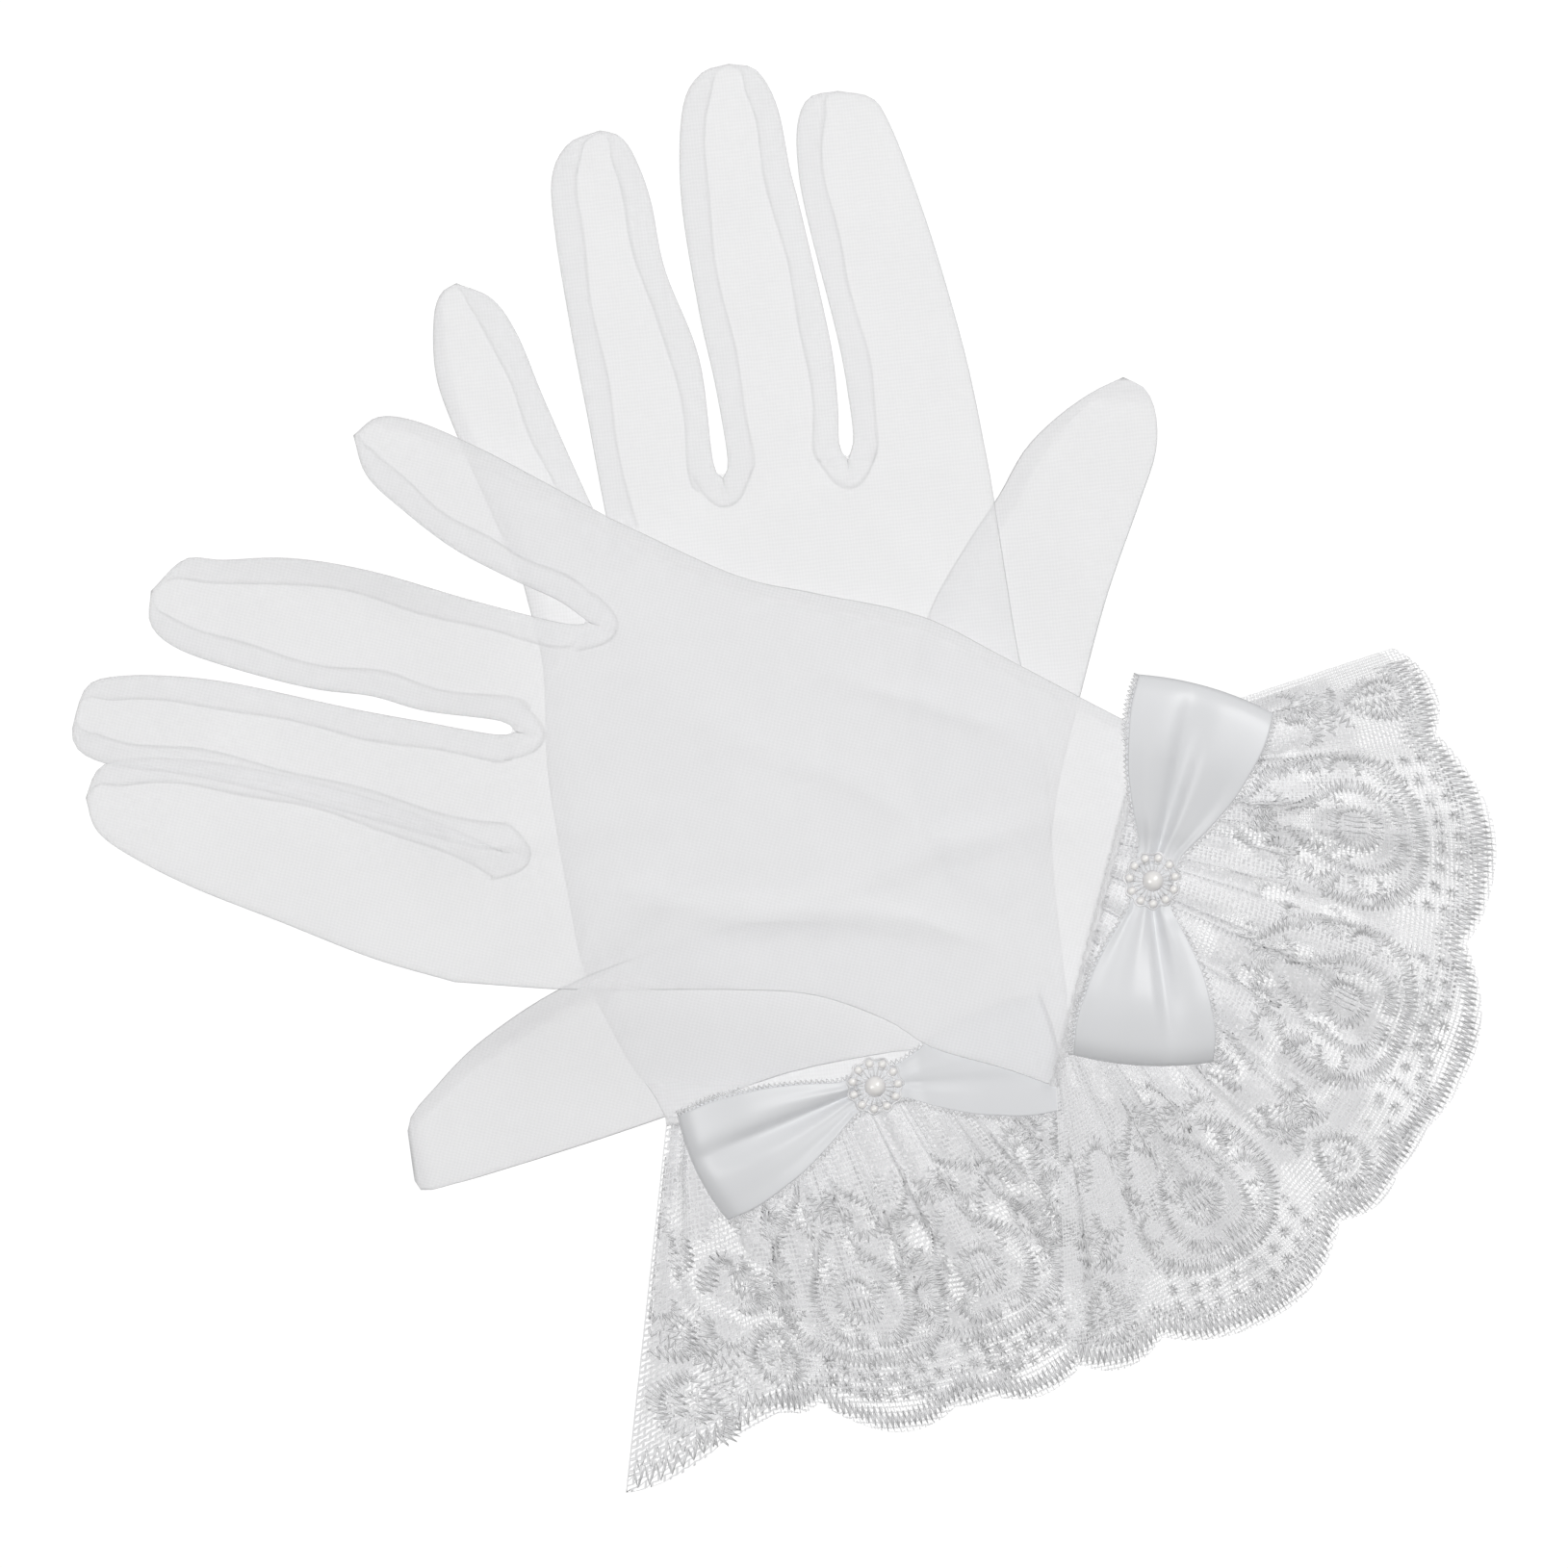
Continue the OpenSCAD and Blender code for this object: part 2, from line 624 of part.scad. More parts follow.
trank(RIGHT);  // right_trank
stall(RIGHT, 3);  // right_index_stall
stall(RIGHT, 2);  // right_middle_stall
stall(RIGHT, 1);  // right_ring_stall
stall(RIGHT, 0);  // right_little_stall
stall_fourchettes(RIGHT, 3);  // right_index_fourchette
stall_fourchettes(RIGHT, 2);  // right_middle_fourchettes
stall_fourchettes(RIGHT, 1);  // right_ring_fourchettes
stall_fourchettes(RIGHT, 0);  // right_little_fourchette
fourchette_bends(RIGHT);  // right_fourchette_bends
thumb_root(RIGHT);  // right_thumb_root
thumb_stall(RIGHT);  // right_thumb_stall
wrist_binding(RIGHT);  // right_wrist_binding
cuff_net(RIGHT);  // right_cuff_net
cuff_edging(RIGHT);  // right_cuff_edging
cuff_medallions(RIGHT);  // right_cuff_medallions
cuff_knots(RIGHT);  // right_cuff_knots
cuff_leaves(RIGHT);  // right_cuff_leaves
bow_loop(RIGHT, -1);  // right_bow_little_loop
bow_loop(RIGHT, 1);  // right_bow_thumb_loop
bow_wrap(RIGHT);  // right_bow_wrap
pearl(RIGHT);  // right_pearl
bead_ring(RIGHT);  // right_bead_ring
bead_thread(RIGHT);  // right_bead_thread
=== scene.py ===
"""A pair of sheer bridal gloves, one laid across the other: nylon knit hands with fourchettes,
gathered lace cuffs, satin ribbon bows and pearl clusters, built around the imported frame."""

import json
import math
from functools import partial

import bmesh
import bpy
import numpy as np
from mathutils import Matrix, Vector


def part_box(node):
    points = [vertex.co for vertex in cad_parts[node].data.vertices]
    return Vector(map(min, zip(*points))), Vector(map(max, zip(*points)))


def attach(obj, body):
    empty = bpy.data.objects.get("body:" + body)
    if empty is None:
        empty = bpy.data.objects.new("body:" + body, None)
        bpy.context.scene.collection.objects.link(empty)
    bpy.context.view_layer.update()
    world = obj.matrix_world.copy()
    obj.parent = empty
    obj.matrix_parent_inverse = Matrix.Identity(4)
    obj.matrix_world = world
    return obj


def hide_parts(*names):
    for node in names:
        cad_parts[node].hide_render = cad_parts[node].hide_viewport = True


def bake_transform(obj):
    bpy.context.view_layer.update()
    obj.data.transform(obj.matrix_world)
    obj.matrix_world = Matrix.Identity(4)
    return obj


bl_info = {
    "name": "Lace wedding gloves",
    "version": (1, 0, 0),
    "blender": (4, 5, 0),
    "location": "3D View > Sidebar > Gloves",
    "description": "Builds a pair of sheer gloves with lace cuffs, ribbon bows and pearls",
    "category": "Add Mesh",
}

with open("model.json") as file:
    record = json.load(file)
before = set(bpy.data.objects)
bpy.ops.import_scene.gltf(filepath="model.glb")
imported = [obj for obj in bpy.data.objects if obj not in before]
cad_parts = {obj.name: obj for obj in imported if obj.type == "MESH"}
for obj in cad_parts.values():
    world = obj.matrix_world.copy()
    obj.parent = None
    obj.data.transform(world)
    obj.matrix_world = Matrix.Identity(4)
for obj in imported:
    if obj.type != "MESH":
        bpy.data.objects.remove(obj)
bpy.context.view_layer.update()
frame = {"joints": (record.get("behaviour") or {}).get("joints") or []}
MM = 0.001
SIDES = ("left", "right")
FINGERS = ("little", "ring", "middle", "index")

# ---- the cut of the gloves, in mm in each glove's own frame ---------------------------------
# x runs from the little side to the thumb side, y from the wrist seam to the fingertips.
# Points between the fingers, where two stalls meet
CROTCHES = {
    "left": ((-35.5, 107), (-14.4, 116.6), (8.8, 117.6)),
    "right": ((-27, 103.5), (-4.2, 111.5), (17.7, 108.5)),
}
# Sides of the palm from the wrist to the first and last stall
PALM_SIDES = {
    "left": (
        ((-37, 0), (-39, 5), (-43, 12), (-49, 28), (-50.6, 42), (-52.1, 65.5), (-51, 85), (-53, 100.5)),
        ((37.2, 0), (38.8, 14), (38.7, 35), (39.3, 57), (36.7, 77), (35.6, 95), (34.7, 112)),
    ),
    "right": (
        ((-33.8, 0), (-34.5, 5), (-39.9, 28), (-43.4, 45), (-42.6, 65), (-42.2, 80), (-46.6, 104.8)),
        ((34, 0), (33.2, 9), (32.8, 23), (30.1, 32), (28.9, 46), (31.7, 61), (39, 89), (43.2, 111)),
    ),
}
# The two edges of each stall from its root to the fingertip, after the points they start from
STALL_SIDES = {
    "left": {
        "little": (
            ((-58, 116), (-62.9, 131), (-65.2, 141), (-64.6, 151), (-62.8, 155.8), (-59.7, 157.5)),
            ((-37.8, 111), (-40.4, 118), (-45.9, 135), (-49.5, 147), (-53.5, 154), (-59.7, 157.5)),
        ),
        "ring": (
            ((-36.6, 112), (-38.1, 130), (-39.6, 147), (-40.6, 164), (-40.2, 175), (-36.5, 181),
             (-30.4, 182.8)),
            ((-15.9, 120), (-16.5, 139), (-21.1, 156), (-22.4, 169), (-24.6, 177.5), (-27, 181.5),
             (-30.4, 182.8)),
        ),
        "middle": (
            ((-13.2, 120), (-14.1, 134), (-15.7, 148), (-16.8, 169), (-14.9, 185), (-10.9, 191.3),
             (-5.5, 192.6)),
            ((7.6, 120.5), (8.1, 128), (7.9, 140), (5, 164), (3.8, 172), (2.6, 184), (-0.6, 191),
             (-5.5, 192.6)),
        ),
        "index": (
            ((10.2, 121), (10.2, 128), (9.3, 140), (5.8, 164), (5.3, 174), (6.2, 181), (8.8, 185),
             (14, 185.6)),
            ((32.7, 133), (29.3, 153), (25.7, 169), (22.6, 179.5), (20, 183.8), (14, 185.6)),
        ),
    },
    "right": {
        "little": (
            ((-48.2, 111), (-50.2, 119), (-53, 131), (-54.9, 143), (-54, 150.5), (-49.5, 154.2)),
            ((-29.5, 110), (-31.1, 119), (-33.9, 131), (-38.5, 142), (-43, 150), (-49.5, 154.2)),
        ),
        "ring": (
            ((-25.7, 108), (-25.6, 125), (-26.2, 145), (-24.8, 160), (-21.4, 172), (-19.7, 179),
             (-12.5, 183.5)),
            ((-5.4, 115), (-3.7, 129), (-3.9, 139), (-2.5, 150), (-2.4, 164), (-3.4, 176),
             (-6.5, 182), (-12.5, 183.5)),
        ),
        "middle": (
            ((-2.8, 115), (-1.8, 128), (-0.8, 142), (0.2, 165), (2.4, 179), (5.3, 188), (8, 190.7),
             (12, 191.2)),
            ((18.3, 115), (18.2, 130), (18, 150), (18.7, 168), (20.4, 181), (19.8, 188), (17, 190.9),
             (12, 191.2)),
        ),
        "index": (
            ((16.4, 115), (14.6, 130), (14.2, 150), (15.7, 168), (18.6, 180), (21.8, 184.7),
             (27.5, 185.6)),
            ((42.8, 127), (40.7, 145), (38.6, 162), (35.8, 175), (32.8, 182.2), (27.5, 185.6)),
        ),
    },
}
# The two edges of each thumb piece from its heel under the palm to its tip
THUMB_SIDES = {
    "left": (
        ((29, 31), (20, 37), (15.6, 49), (14.9, 63), (17.2, 78), (21.5, 89), (28.5, 99), (35.8, 108),
         (41.5, 116), (48, 121.4), (55, 125.4), (61.1, 127.6)),
        ((29, 31), (37, 38), (41.5, 54), (47.6, 71), (54.1, 88), (61.8, 104.4), (65.6, 113),
         (66.4, 120), (64.9, 125), (61.1, 127.6)),
    ),
    "right": (
        ((27, 17), (19.5, 22), (15.2, 31), (14.6, 42), (16.8, 53), (20.5, 64), (28.5, 77), (39.6, 92),
         (52.7, 103.7), (63.5, 110), (70.6, 112.9), (76.7, 110.6)),
        ((27, 17), (32.5, 22.5), (36.5, 32), (44.5, 48), (57.9, 67.4), (67.1, 81.5), (75, 94.2),
         (79.3, 101.5), (82.1, 107.9), (76.7, 110.6)),
    ),
}
# The lace cuff's fan: middle, reach, first and last direction, its scallops from the little
# side on (True large), how far the corner hangs below the scallops, and the wrist's half width
FANS = {
    "left": dict(at=(1.5, 14), reach=70, start=-123, end=-26, drop=27, half=37,
                 large=(False, False, True, True, False, True)),
    "right": dict(at=(3.4, 16), reach=84.5, start=-138, end=-22, drop=0, half=34,
                  large=(False, True, True, False, True, False)),
}
SCALLOP = {True: (39, 6), False: (17.5, 3.5)}  # length and rise of a large and a small one
MEDALLION_DEPTH = 26  # from a large scallop's peak to the middle of its medallion
WRIST_EDGE = 0.8  # how far below the wrist seam the gathered net begins
# Middle of the bow, and turn, length and width of its little-side and thumb-side loops
BOWS = {
    "left": dict(at=(1.9, 2.5), turn=(19.5, 4), length=(35.5, 33), width=21),
    "right": dict(at=(-7, -8), turn=(1.5, -11.5), length=(36, 33), width=25.4),
}
INDEX_SPLAY = {"left": 7, "right": 1}  # from the glove's middle line to its index stall, degrees
# the right glove's larger share is painted shade: its knit is made denser so that it looks darker where
# the light is weaker
COVER = {"left": 0.45, "right": 0.5}  # share of the light that one sheet of the knit stops
STALL_COLUMNS = 14  # squares across one sheet of a stall
TIP = 0.08  # share of a sleeve's length over which its end closes


class GloveSizes(bpy.types.PropertyGroup):
    """Sizes of the cloth, lace and stitches"""

    pillow: bpy.props.FloatProperty(
        name="Pillow", description="Half the height that the two sheets of a hand stand apart",
        default=0.8 * MM, unit="LENGTH")
    fourchette: bpy.props.FloatProperty(
        name="Fourchette", description="Width of a fourchette folded in two",
        default=4.9 * MM, unit="LENGTH")
    net_cell: bpy.props.FloatProperty(
        name="Net cell", description="Width of a cell of the net", default=1.12 * MM, unit="LENGTH")
    net_thread: bpy.props.FloatProperty(
        name="Net thread", description="Width of the net's threads", default=0.21 * MM, unit="LENGTH")
    stitch_pitch: bpy.props.FloatProperty(
        name="Stitch pitch", description="Distance between satin stitches",
        default=0.46 * MM, unit="LENGTH")
    thread: bpy.props.FloatProperty(
        name="Embroidery thread", description="Radius of the embroidery thread",
        default=0.23 * MM, unit="LENGTH")
    picot: bpy.props.FloatProperty(
        name="Picot", description="Distance between the loops on the ribbon's edges",
        default=1.0 * MM, unit="LENGTH")


class GloveColours(bpy.types.PropertyGroup):
    """Colours of the cloth, thread, ribbon and pearls, and of the stage"""

    knit: bpy.props.StringProperty(name="Knit", description="Sheer nylon knit", default="E3E3E4")
    net: bpy.props.StringProperty(name="Net", description="Nylon net of the cuffs", default="E8E8E9")
    rayon: bpy.props.StringProperty(name="Rayon", description="Embroidery thread", default="F2F2F3")
    satin: bpy.props.StringProperty(name="Satin", description="Ribbon of the bows", default="E0E1E3")
    pearl: bpy.props.StringProperty(name="Pearl", description="Pearls and beads", default="F6F4F1")
    floor: bpy.props.StringProperty(name="Floor", description="The table", default="FFFFFF")


def sizes():
    return bpy.context.scene.glove_sizes


def colours():
    return bpy.context.scene.glove_colours


# ---- small tools ----------------------------------------------------------------------------
def smooth(x):
    x = np.clip(x, 0, 1)
    return x * x * (3 - 2 * x)


def mix(a, b, t):
    return a + (b - a) * t


class Curve:
    """A smooth line through a few given points, asked for by its share of the length."""

    def __init__(self, points):
        p = [np.array(q, float) for q in points]
        p = [2 * p[0] - p[1]] + p + [2 * p[-1] - p[-2]]
        fine = []
        for a, b, c, d in zip(p, p[1:], p[2:], p[3:]):
            for t in np.arange(0, 1, 0.1):
                fine.append(0.5 * (2 * b + (c - a) * t + (2 * a - 5 * b + 4 * c - d) * t**2
                                   + (3 * b - a - 3 * c + d) * t**3))
        self.points = np.array(fine + [p[-2]])
        steps = np.linalg.norm(np.diff(self.points, axis=0), axis=1)
        self.length = steps.sum()
        self.share = np.concatenate([[0], np.cumsum(steps)]) / self.length

    def __call__(self, t):
        return np.stack([np.interp(t, self.share, c) for c in self.points.T], axis=-1)

    def across(self, t):
        """Unit vector to the left of the line."""
        d = self(np.clip(t + 0.004, 0, 1)) - self(np.clip(t - 0.004, 0, 1))
        d = d / np.maximum(np.linalg.norm(d, axis=-1, keepdims=True), 1e-9)
        return np.stack([-d[..., 1], d[..., 0]], axis=-1)


class Glove:
    """Where one glove lies. Its place and turn come from the frame's pearl and index hinge."""

    def __init__(self, side):
        self.side = side
        self.mirror = side == "right"
        self.body = side + "_glove"
        self.hinges = {}
        for name in (*FINGERS, "thumb"):
            joint = next(j for j in frame["joints"] if j["name"] == f"{side}_{name}_fold")
            axis = Vector(joint["axis"])
            self.hinges[name] = (Vector(joint["pos_m"]), Vector((-axis.y, axis.x, 0)))
        d = self.hinges["index"][1]
        lean = math.degrees(math.atan2(-d.x, d.y))
        self.turn = math.radians(lean + INDEX_SPLAY[side] * (1 if self.mirror else -1))
        low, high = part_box(side + "_pearl")
        self.pearl = (low + high) / 2
        self.pearl_radius = (high.x - low.x) / 2
        self.origin = np.zeros(2)
        self.origin = np.array(self.pearl.xy) - self.at(*BOWS[side]["at"], 0)[:2]
        self.palm_z = self.middle_z("trank")
        self.thumb_z = self.middle_z("thumb_root")

    def middle_z(self, node):
        low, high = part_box(f"{self.side}_{node}")
        return (low.z + high.z) / 2 / MM

    def at(self, x, y, z):
        """Points of the glove's own frame, in mm, as places in the scene, in metres."""
        x, y, z = np.broadcast_arrays(np.asarray(x, float), y, z)
        if self.mirror:
            x = -x
        c, s = math.cos(self.turn), math.sin(self.turn)
        return np.stack([(x * c - y * s) * MM + self.origin[0],
                         (x * s + y * c) * MM + self.origin[1], z * MM], axis=-1)


def surface(name, across, along, place, weave=None, closed=False, material=None):
    """A grid whose corner at shares (a, b) of its width and length is moved to place(a, b)."""
    bm = bmesh.new()
    bmesh.ops.create_grid(bm, x_segments=across, y_segments=along, size=0.5)
    flat = np.array([v.co for v in bm.verts]) + 0.5
    a, b = np.round(flat[:, 0] * across) / across, np.round(flat[:, 1] * along) / along
    for v, p in zip(bm.verts, place(a, b)):
        v.co = p
    if weave is not None:
        layer = bm.verts.layers.float.new("weave")
        for v, w in zip(bm.verts, np.broadcast_to(weave(a, b), a.shape)):
            v[layer] = w
    piece = finished(name, bm, material, merge=closed)
    return piece if weave is None else sheer(piece)


def finished(name, bm, material, merge=False):
    """Puts a bmesh in the scene as one smooth-shaded object."""
    if merge:
        bmesh.ops.remove_doubles(bm, verts=bm.verts, dist=3e-6)
        bmesh.ops.recalc_face_normals(bm, faces=bm.faces)
    mesh = bpy.data.meshes.new(name)
    bm.to_mesh(mesh)
    bm.free()
    mesh.shade_smooth()
    piece = bpy.data.objects.new(name, mesh)
    bpy.context.scene.collection.objects.link(piece)
    if material is not None:
        mesh.materials.append(material)
    return piece


def sheer(piece):
    """Light goes through the open cloth, so it throws no shadow that shows on a white table."""
    piece.visible_shadow = False
    return piece


def thread_piece(name, paths, radius, material, sides=4):
    """Tubes of thread along paths of places in the scene, pointed where they end."""
    bm = bmesh.new()
    for path in paths:
        path = np.asarray(path)
        tangent = np.gradient(path, axis=0)
        tangent /= np.maximum(np.linalg.norm(tangent, axis=1, keepdims=True), 1e-12)
        up = np.array([0, 0, 1.0]) - tangent * tangent[:, 2:3]
        up /= np.maximum(np.linalg.norm(up, axis=1, keepdims=True), 1e-9)
        side = np.cross(tangent, up)
        size = np.full(len(path), radius)
        size[[0, -1]] = 0
        made = bmesh.ops.create_grid(bm, x_segments=sides, y_segments=len(path) - 1, size=0.5)
        for v in made["verts"]:
            i = round((v.co.y + 0.5) * (len(path) - 1))
            angle = round((v.co.x + 0.5) * sides) / sides * math.tau
            v.co = path[i] + size[i] * (math.cos(angle) * side[i] + math.sin(angle) * up[i])
    return finished(name, bm, material, merge=True)


# ---- materials ------------------------------------------------------------------------------
def srgb(code):
    """Linear colour of a six-digit hex code."""
    channels = [int(code[i:i + 2], 16) / 255 for i in (0, 2, 4)]
    return [c / 12.92 if c <= 0.04045 else ((c + 0.055) / 1.055) ** 2.4 for c in channels] + [1]


def node(tree, kind, inputs=None, **settings):
    """Adds one node with its settings, values and links."""
    made = tree.nodes.new(kind)
    for key, value in settings.items():
        setattr(made, key, value)
    for key, value in (inputs or {}).items():
        if isinstance(value, bpy.types.NodeSocket):
            tree.links.new(value, made.inputs[key])
        else:
            made.inputs[key].default_value = value
    return made


def finish_for(name, colour, roughness, **sockets):
    """A material of one shader, with the node tree and the shader to build on."""
    material = bpy.data.materials.get(name)
    if material:
        return material, None, None
    material = bpy.data.materials.new(name)
    material.use_nodes = True
    tree = material.node_tree
    shader = tree.nodes["Principled BSDF"]
    shader.inputs["Base Color"].default_value = srgb(colour)
    shader.inputs["Roughness"].default_value = roughness
    for key, value in sockets.items():
        shader.inputs[key.replace("_", " ").title().replace("Ior", "IOR")].default_value = value
    return material, tree, shader


def let_light_through(tree, shader, cover):
    """The cloth stops this share of the light, times its own "weave" at each place: more where
    it lies double in a seam, less where it is stretched."""
    weave = node(tree, "ShaderNodeAttribute", attribute_name="weave")
    share = node(tree, "ShaderNodeMath", {0: cover.outputs[0], 1: weave.outputs["Fac"]},
                 operation="MULTIPLY", use_clamp=True)
    tree.links.new(share.outputs[0], shader.inputs["Alpha"])


WAVE = 0.314  # period of a wave texture at a scale of 1


def sheer_knit(glove):
    """Fine nylon warp knit: half of the light passes between its threads, so that two sheets
    look pale grey and four only a little deeper. Faint wales run along the hand."""
    material, tree, shader = finish_for(f"sheer_nylon_knit_{glove.side}", colours().knit, 0.9)
    if tree is None:
        return material
    place = node(tree, "ShaderNodeTexCoord").outputs["Object"]
    turned = node(tree, "ShaderNodeMapping", {"Vector": place, "Rotation": (0, 0, -glove.turn)})
    turned = turned.outputs["Vector"]
    # wales 0.55 mm and courses 0.7 mm apart, twice those of fine knit, so that they show
    wales = node(tree, "ShaderNodeTexWave", {
        "Vector": turned, "Scale": WAVE / (0.55 * MM), "Distortion": 2.2, "Detail": 2.0,
        "Detail Scale": 1.5}, bands_direction="X")
    courses = node(tree, "ShaderNodeTexWave", {
        "Vector": turned, "Scale": WAVE / (0.7 * MM), "Distortion": 3.0, "Detail": 2.0,
        "Detail Scale": 1.0}, bands_direction="Y")
    cloud = node(tree, "ShaderNodeTexNoise", {"Vector": turned, "Scale": 45.0, "Detail": 3.0})
    knitted = node(tree, "ShaderNodeMath", {0: wales.outputs["Fac"], 1: courses.outputs["Fac"]},
                   operation="ADD")
    fine = node(tree, "ShaderNodeMapRange", {
        "Value": knitted.outputs[0], "From Min": 0.0, "From Max": 2.0, "To Min": 0.94, "To Max": 1.06})
    # the right glove's higher COVER is painted shade, darkening its knit against the left glove's
    broad = node(tree, "ShaderNodeMapRange", {
        "Value": cloud.outputs["Fac"], "From Min": 0.3, "From Max": 0.7,
        "To Min": COVER[glove.side] - 0.03, "To Max": COVER[glove.side] + 0.03})
    cover = node(tree, "ShaderNodeMath", {0: fine.outputs[0], 1: broad.outputs[0]},
                 operation="MULTIPLY")
    let_light_through(tree, shader, cover)
    return material


def nylon_net():
    """Nylon net: smooth fine filament, a little shiny."""
    return finish_for("nylon_net", colours().net, 0.45)[0]


def gathered_net():
    """Net folded over itself, seen as pale grey with whiter gaps; its colour, darker than the flat net's,
    is painted shade between the folds.
    """
    # D9D9DA is painted shade: the shadows of the folded net put into its colour
    material, tree, shader = finish_for("gathered_net", "D9D9DA", 0.7)
    if tree is None:
        return material
    place = node(tree, "ShaderNodeTexCoord").outputs["Object"]
    # the crossing threads of several layers make flecks about half a millimetre wide
    flecks = node(tree, "ShaderNodeTexNoise", {"Vector": place, "Scale": 1100.0, "Detail": 2.0,
                                               "Roughness": 0.7})
    cover = node(tree, "ShaderNodeMapRange", {
        "Value": flecks.outputs["Fac"], "From Min": 0.35, "From Max": 0.65, "To Min": 0.3,
        "To Max": 0.7})
    let_light_through(tree, shader, cover)
    return material


def rayon_thread():
    """Rayon embroidery thread: glossy filament, so each stitch has its own glint."""
    material, tree, shader = finish_for("rayon_thread", colours().rayon, 0.27,
                                        specular_ior_level=0.6)
    if tree is None:
        return material
    place = node(tree, "ShaderNodeTexCoord").outputs["Object"]
    # the thread's shade varies along it, in patches 2 mm long
    patches = node(tree, "ShaderNodeTexNoise", {"Vector": place, "Scale": 500.0, "Detail": 2.0})
    tint = node(tree, "ShaderNodeMapRange", {
        "Value": patches.outputs["Fac"], "From Min": 0.3, "From Max": 0.7, "To Min": 0.0, "To Max": 1.0})
    shade = node(tree, "ShaderNodeMix", {
        "Factor": tint.outputs[0], "A": srgb("CACACB"), "B": srgb(colours().rayon)}, data_type="RGBA")
    tree.links.new(shade.outputs["Result"], shader.inputs["Base Color"])
    return material


def satin_ribbon():
    """Polyester satin ribbon: smooth face with a soft broad highlight."""
    material, tree, shader = finish_for("polyester_satin_ribbon", colours().satin, 0.38,
                                        sheen_weight=0.2, sheen_roughness=0.3)
    if tree is None:
        return material
    place = node(tree, "ShaderNodeTexCoord").outputs["Object"]
    # fine weft threads 0.25 mm apart are drawn 0.4 mm apart, so that they show
    weft = node(tree, "ShaderNodeTexNoise", {"Vector": place, "Scale": 2500.0, "Detail": 1.0})
    bump = node(tree, "ShaderNodeBump", {"Height": weft.outputs["Fac"], "Strength": 0.06,
                                         "Distance": 0.05 * MM})
    tree.links.new(bump.outputs["Normal"], shader.inputs["Normal"])
    return material


def pearl_lacquer():
    """Glass beads dipped in pearl essence: a milky body under a clear shiny coat."""
    material, tree, shader = finish_for("pearl_essence_on_glass", colours().pearl, 0.28,
                                        coat_weight=0.8, coat_roughness=0.08)
    if tree is None:
        return material
    # towards the rim, where the surface turns from the eye, the colour greys to CFCCD0: painted shade,
    # with a violet tint as painted sheen, on pearl and beads alike
    rim = node(tree, "ShaderNodeLayerWeight", {"Blend": 0.35})
    painted_rim_shade = node(tree, "ShaderNodeMix", {
        "Factor": rim.outputs["Facing"], "A": srgb(colours().pearl), "B": srgb("CFCCD0")},
        data_type="RGBA")
    tree.links.new(painted_rim_shade.outputs["Result"], shader.inputs["Base Color"])
    return material


def table_white():
    """Seamless white paper lit until it clips."""
    material, tree, shader = finish_for("white_paper_table", colours().floor, 0.9)
    if tree is not None:
        shader.inputs["Emission Color"].default_value = srgb(colours().floor)
        shader.inputs["Emission Strength"].default_value = 1.05
        shader.inputs["Base Color"].default_value = (0, 0, 0, 1)
        shader.inputs["Specular IOR Level"].default_value = 0
    return material


# ---- hands ----------------------------------------------------------------------------------
def crown(v):
    """Height of a flattened sleeve across its width, 1 in the middle and 0 at its folds."""
    return (1 - np.abs(2 * v - 1) ** 3) ** (1 / 2.2)


def drape(x, y, seed):
    """Soft unevenness of laid cloth, about -1 to 1."""
    return (np.sin(x * 0.11 + y * 0.05 + seed) + np.sin(x * 0.05 - y * 0.13 + 2.1 * seed)
            + 0.6 * np.sin(x * 0.21 + y * 0.17 + 0.7 * seed)) / 2.6


def ring_share(a):
    """Share across a flattened tube, and which sheet, for a share a of the way round it."""
    front = a <= 0.5
    return np.where(front, 2 * a, 2 - 2 * a), np.where(front, 1.0, -1.0)


def eased(share):
    """Even shares drawn closer towards both ends, where a flattened sleeve turns over."""
    return 0.5 - 0.5 * np.cos(math.pi * share)


def across_sleeve(a):
    """Share across a sleeve, and which sheet, with its squares narrower at both folds."""
    share, sheet = ring_share(a)
    return eased(share), sheet


def creases(x, y, lines):
    """Soft folds in laid cloth, each along a line (x, y, direction, length, height)."""
    z = 0 * x
    for x0, y0, turn, length, height in lines:
        c, s = math.cos(math.radians(turn)), math.sin(math.radians(turn))
        along, off = (x - x0) * c + (y - y0) * s, (y - y0) * c - (x - x0) * s
        off = off + 1.5 * np.sin(along * 0.11)
        z = z + height * np.exp(-(off / 2.3) ** 2) * np.exp(-(2 * along / length) ** 4)
    return z


# Folds pressed into each hand: place, direction in degrees, length and height
CREASES = {
    "left": ((14, 60, 80, 50, 0.9), (20, 95, 130, 30, 0.5), (-10, 90, 60, 40, 0.35),
             (-30, 70, 95, 45, 0.4), (0, 30, 95, 40, 0.5), (5, 112, 20, 30, 0.35)),
    "right": ((15, 52, 82, 60, 1.3), (4, 40, 60, 45, 0.8), (26, 84, 40, 34, 0.8),
              (-12, 60, 105, 55, 0.5), (-28, 40, 100, 40, 0.6), (-20, 96, 20, 34, 0.5),
              (12, 100, 70, 40, 0.5), (-8, 22, 70, 30, 0.7)),
}


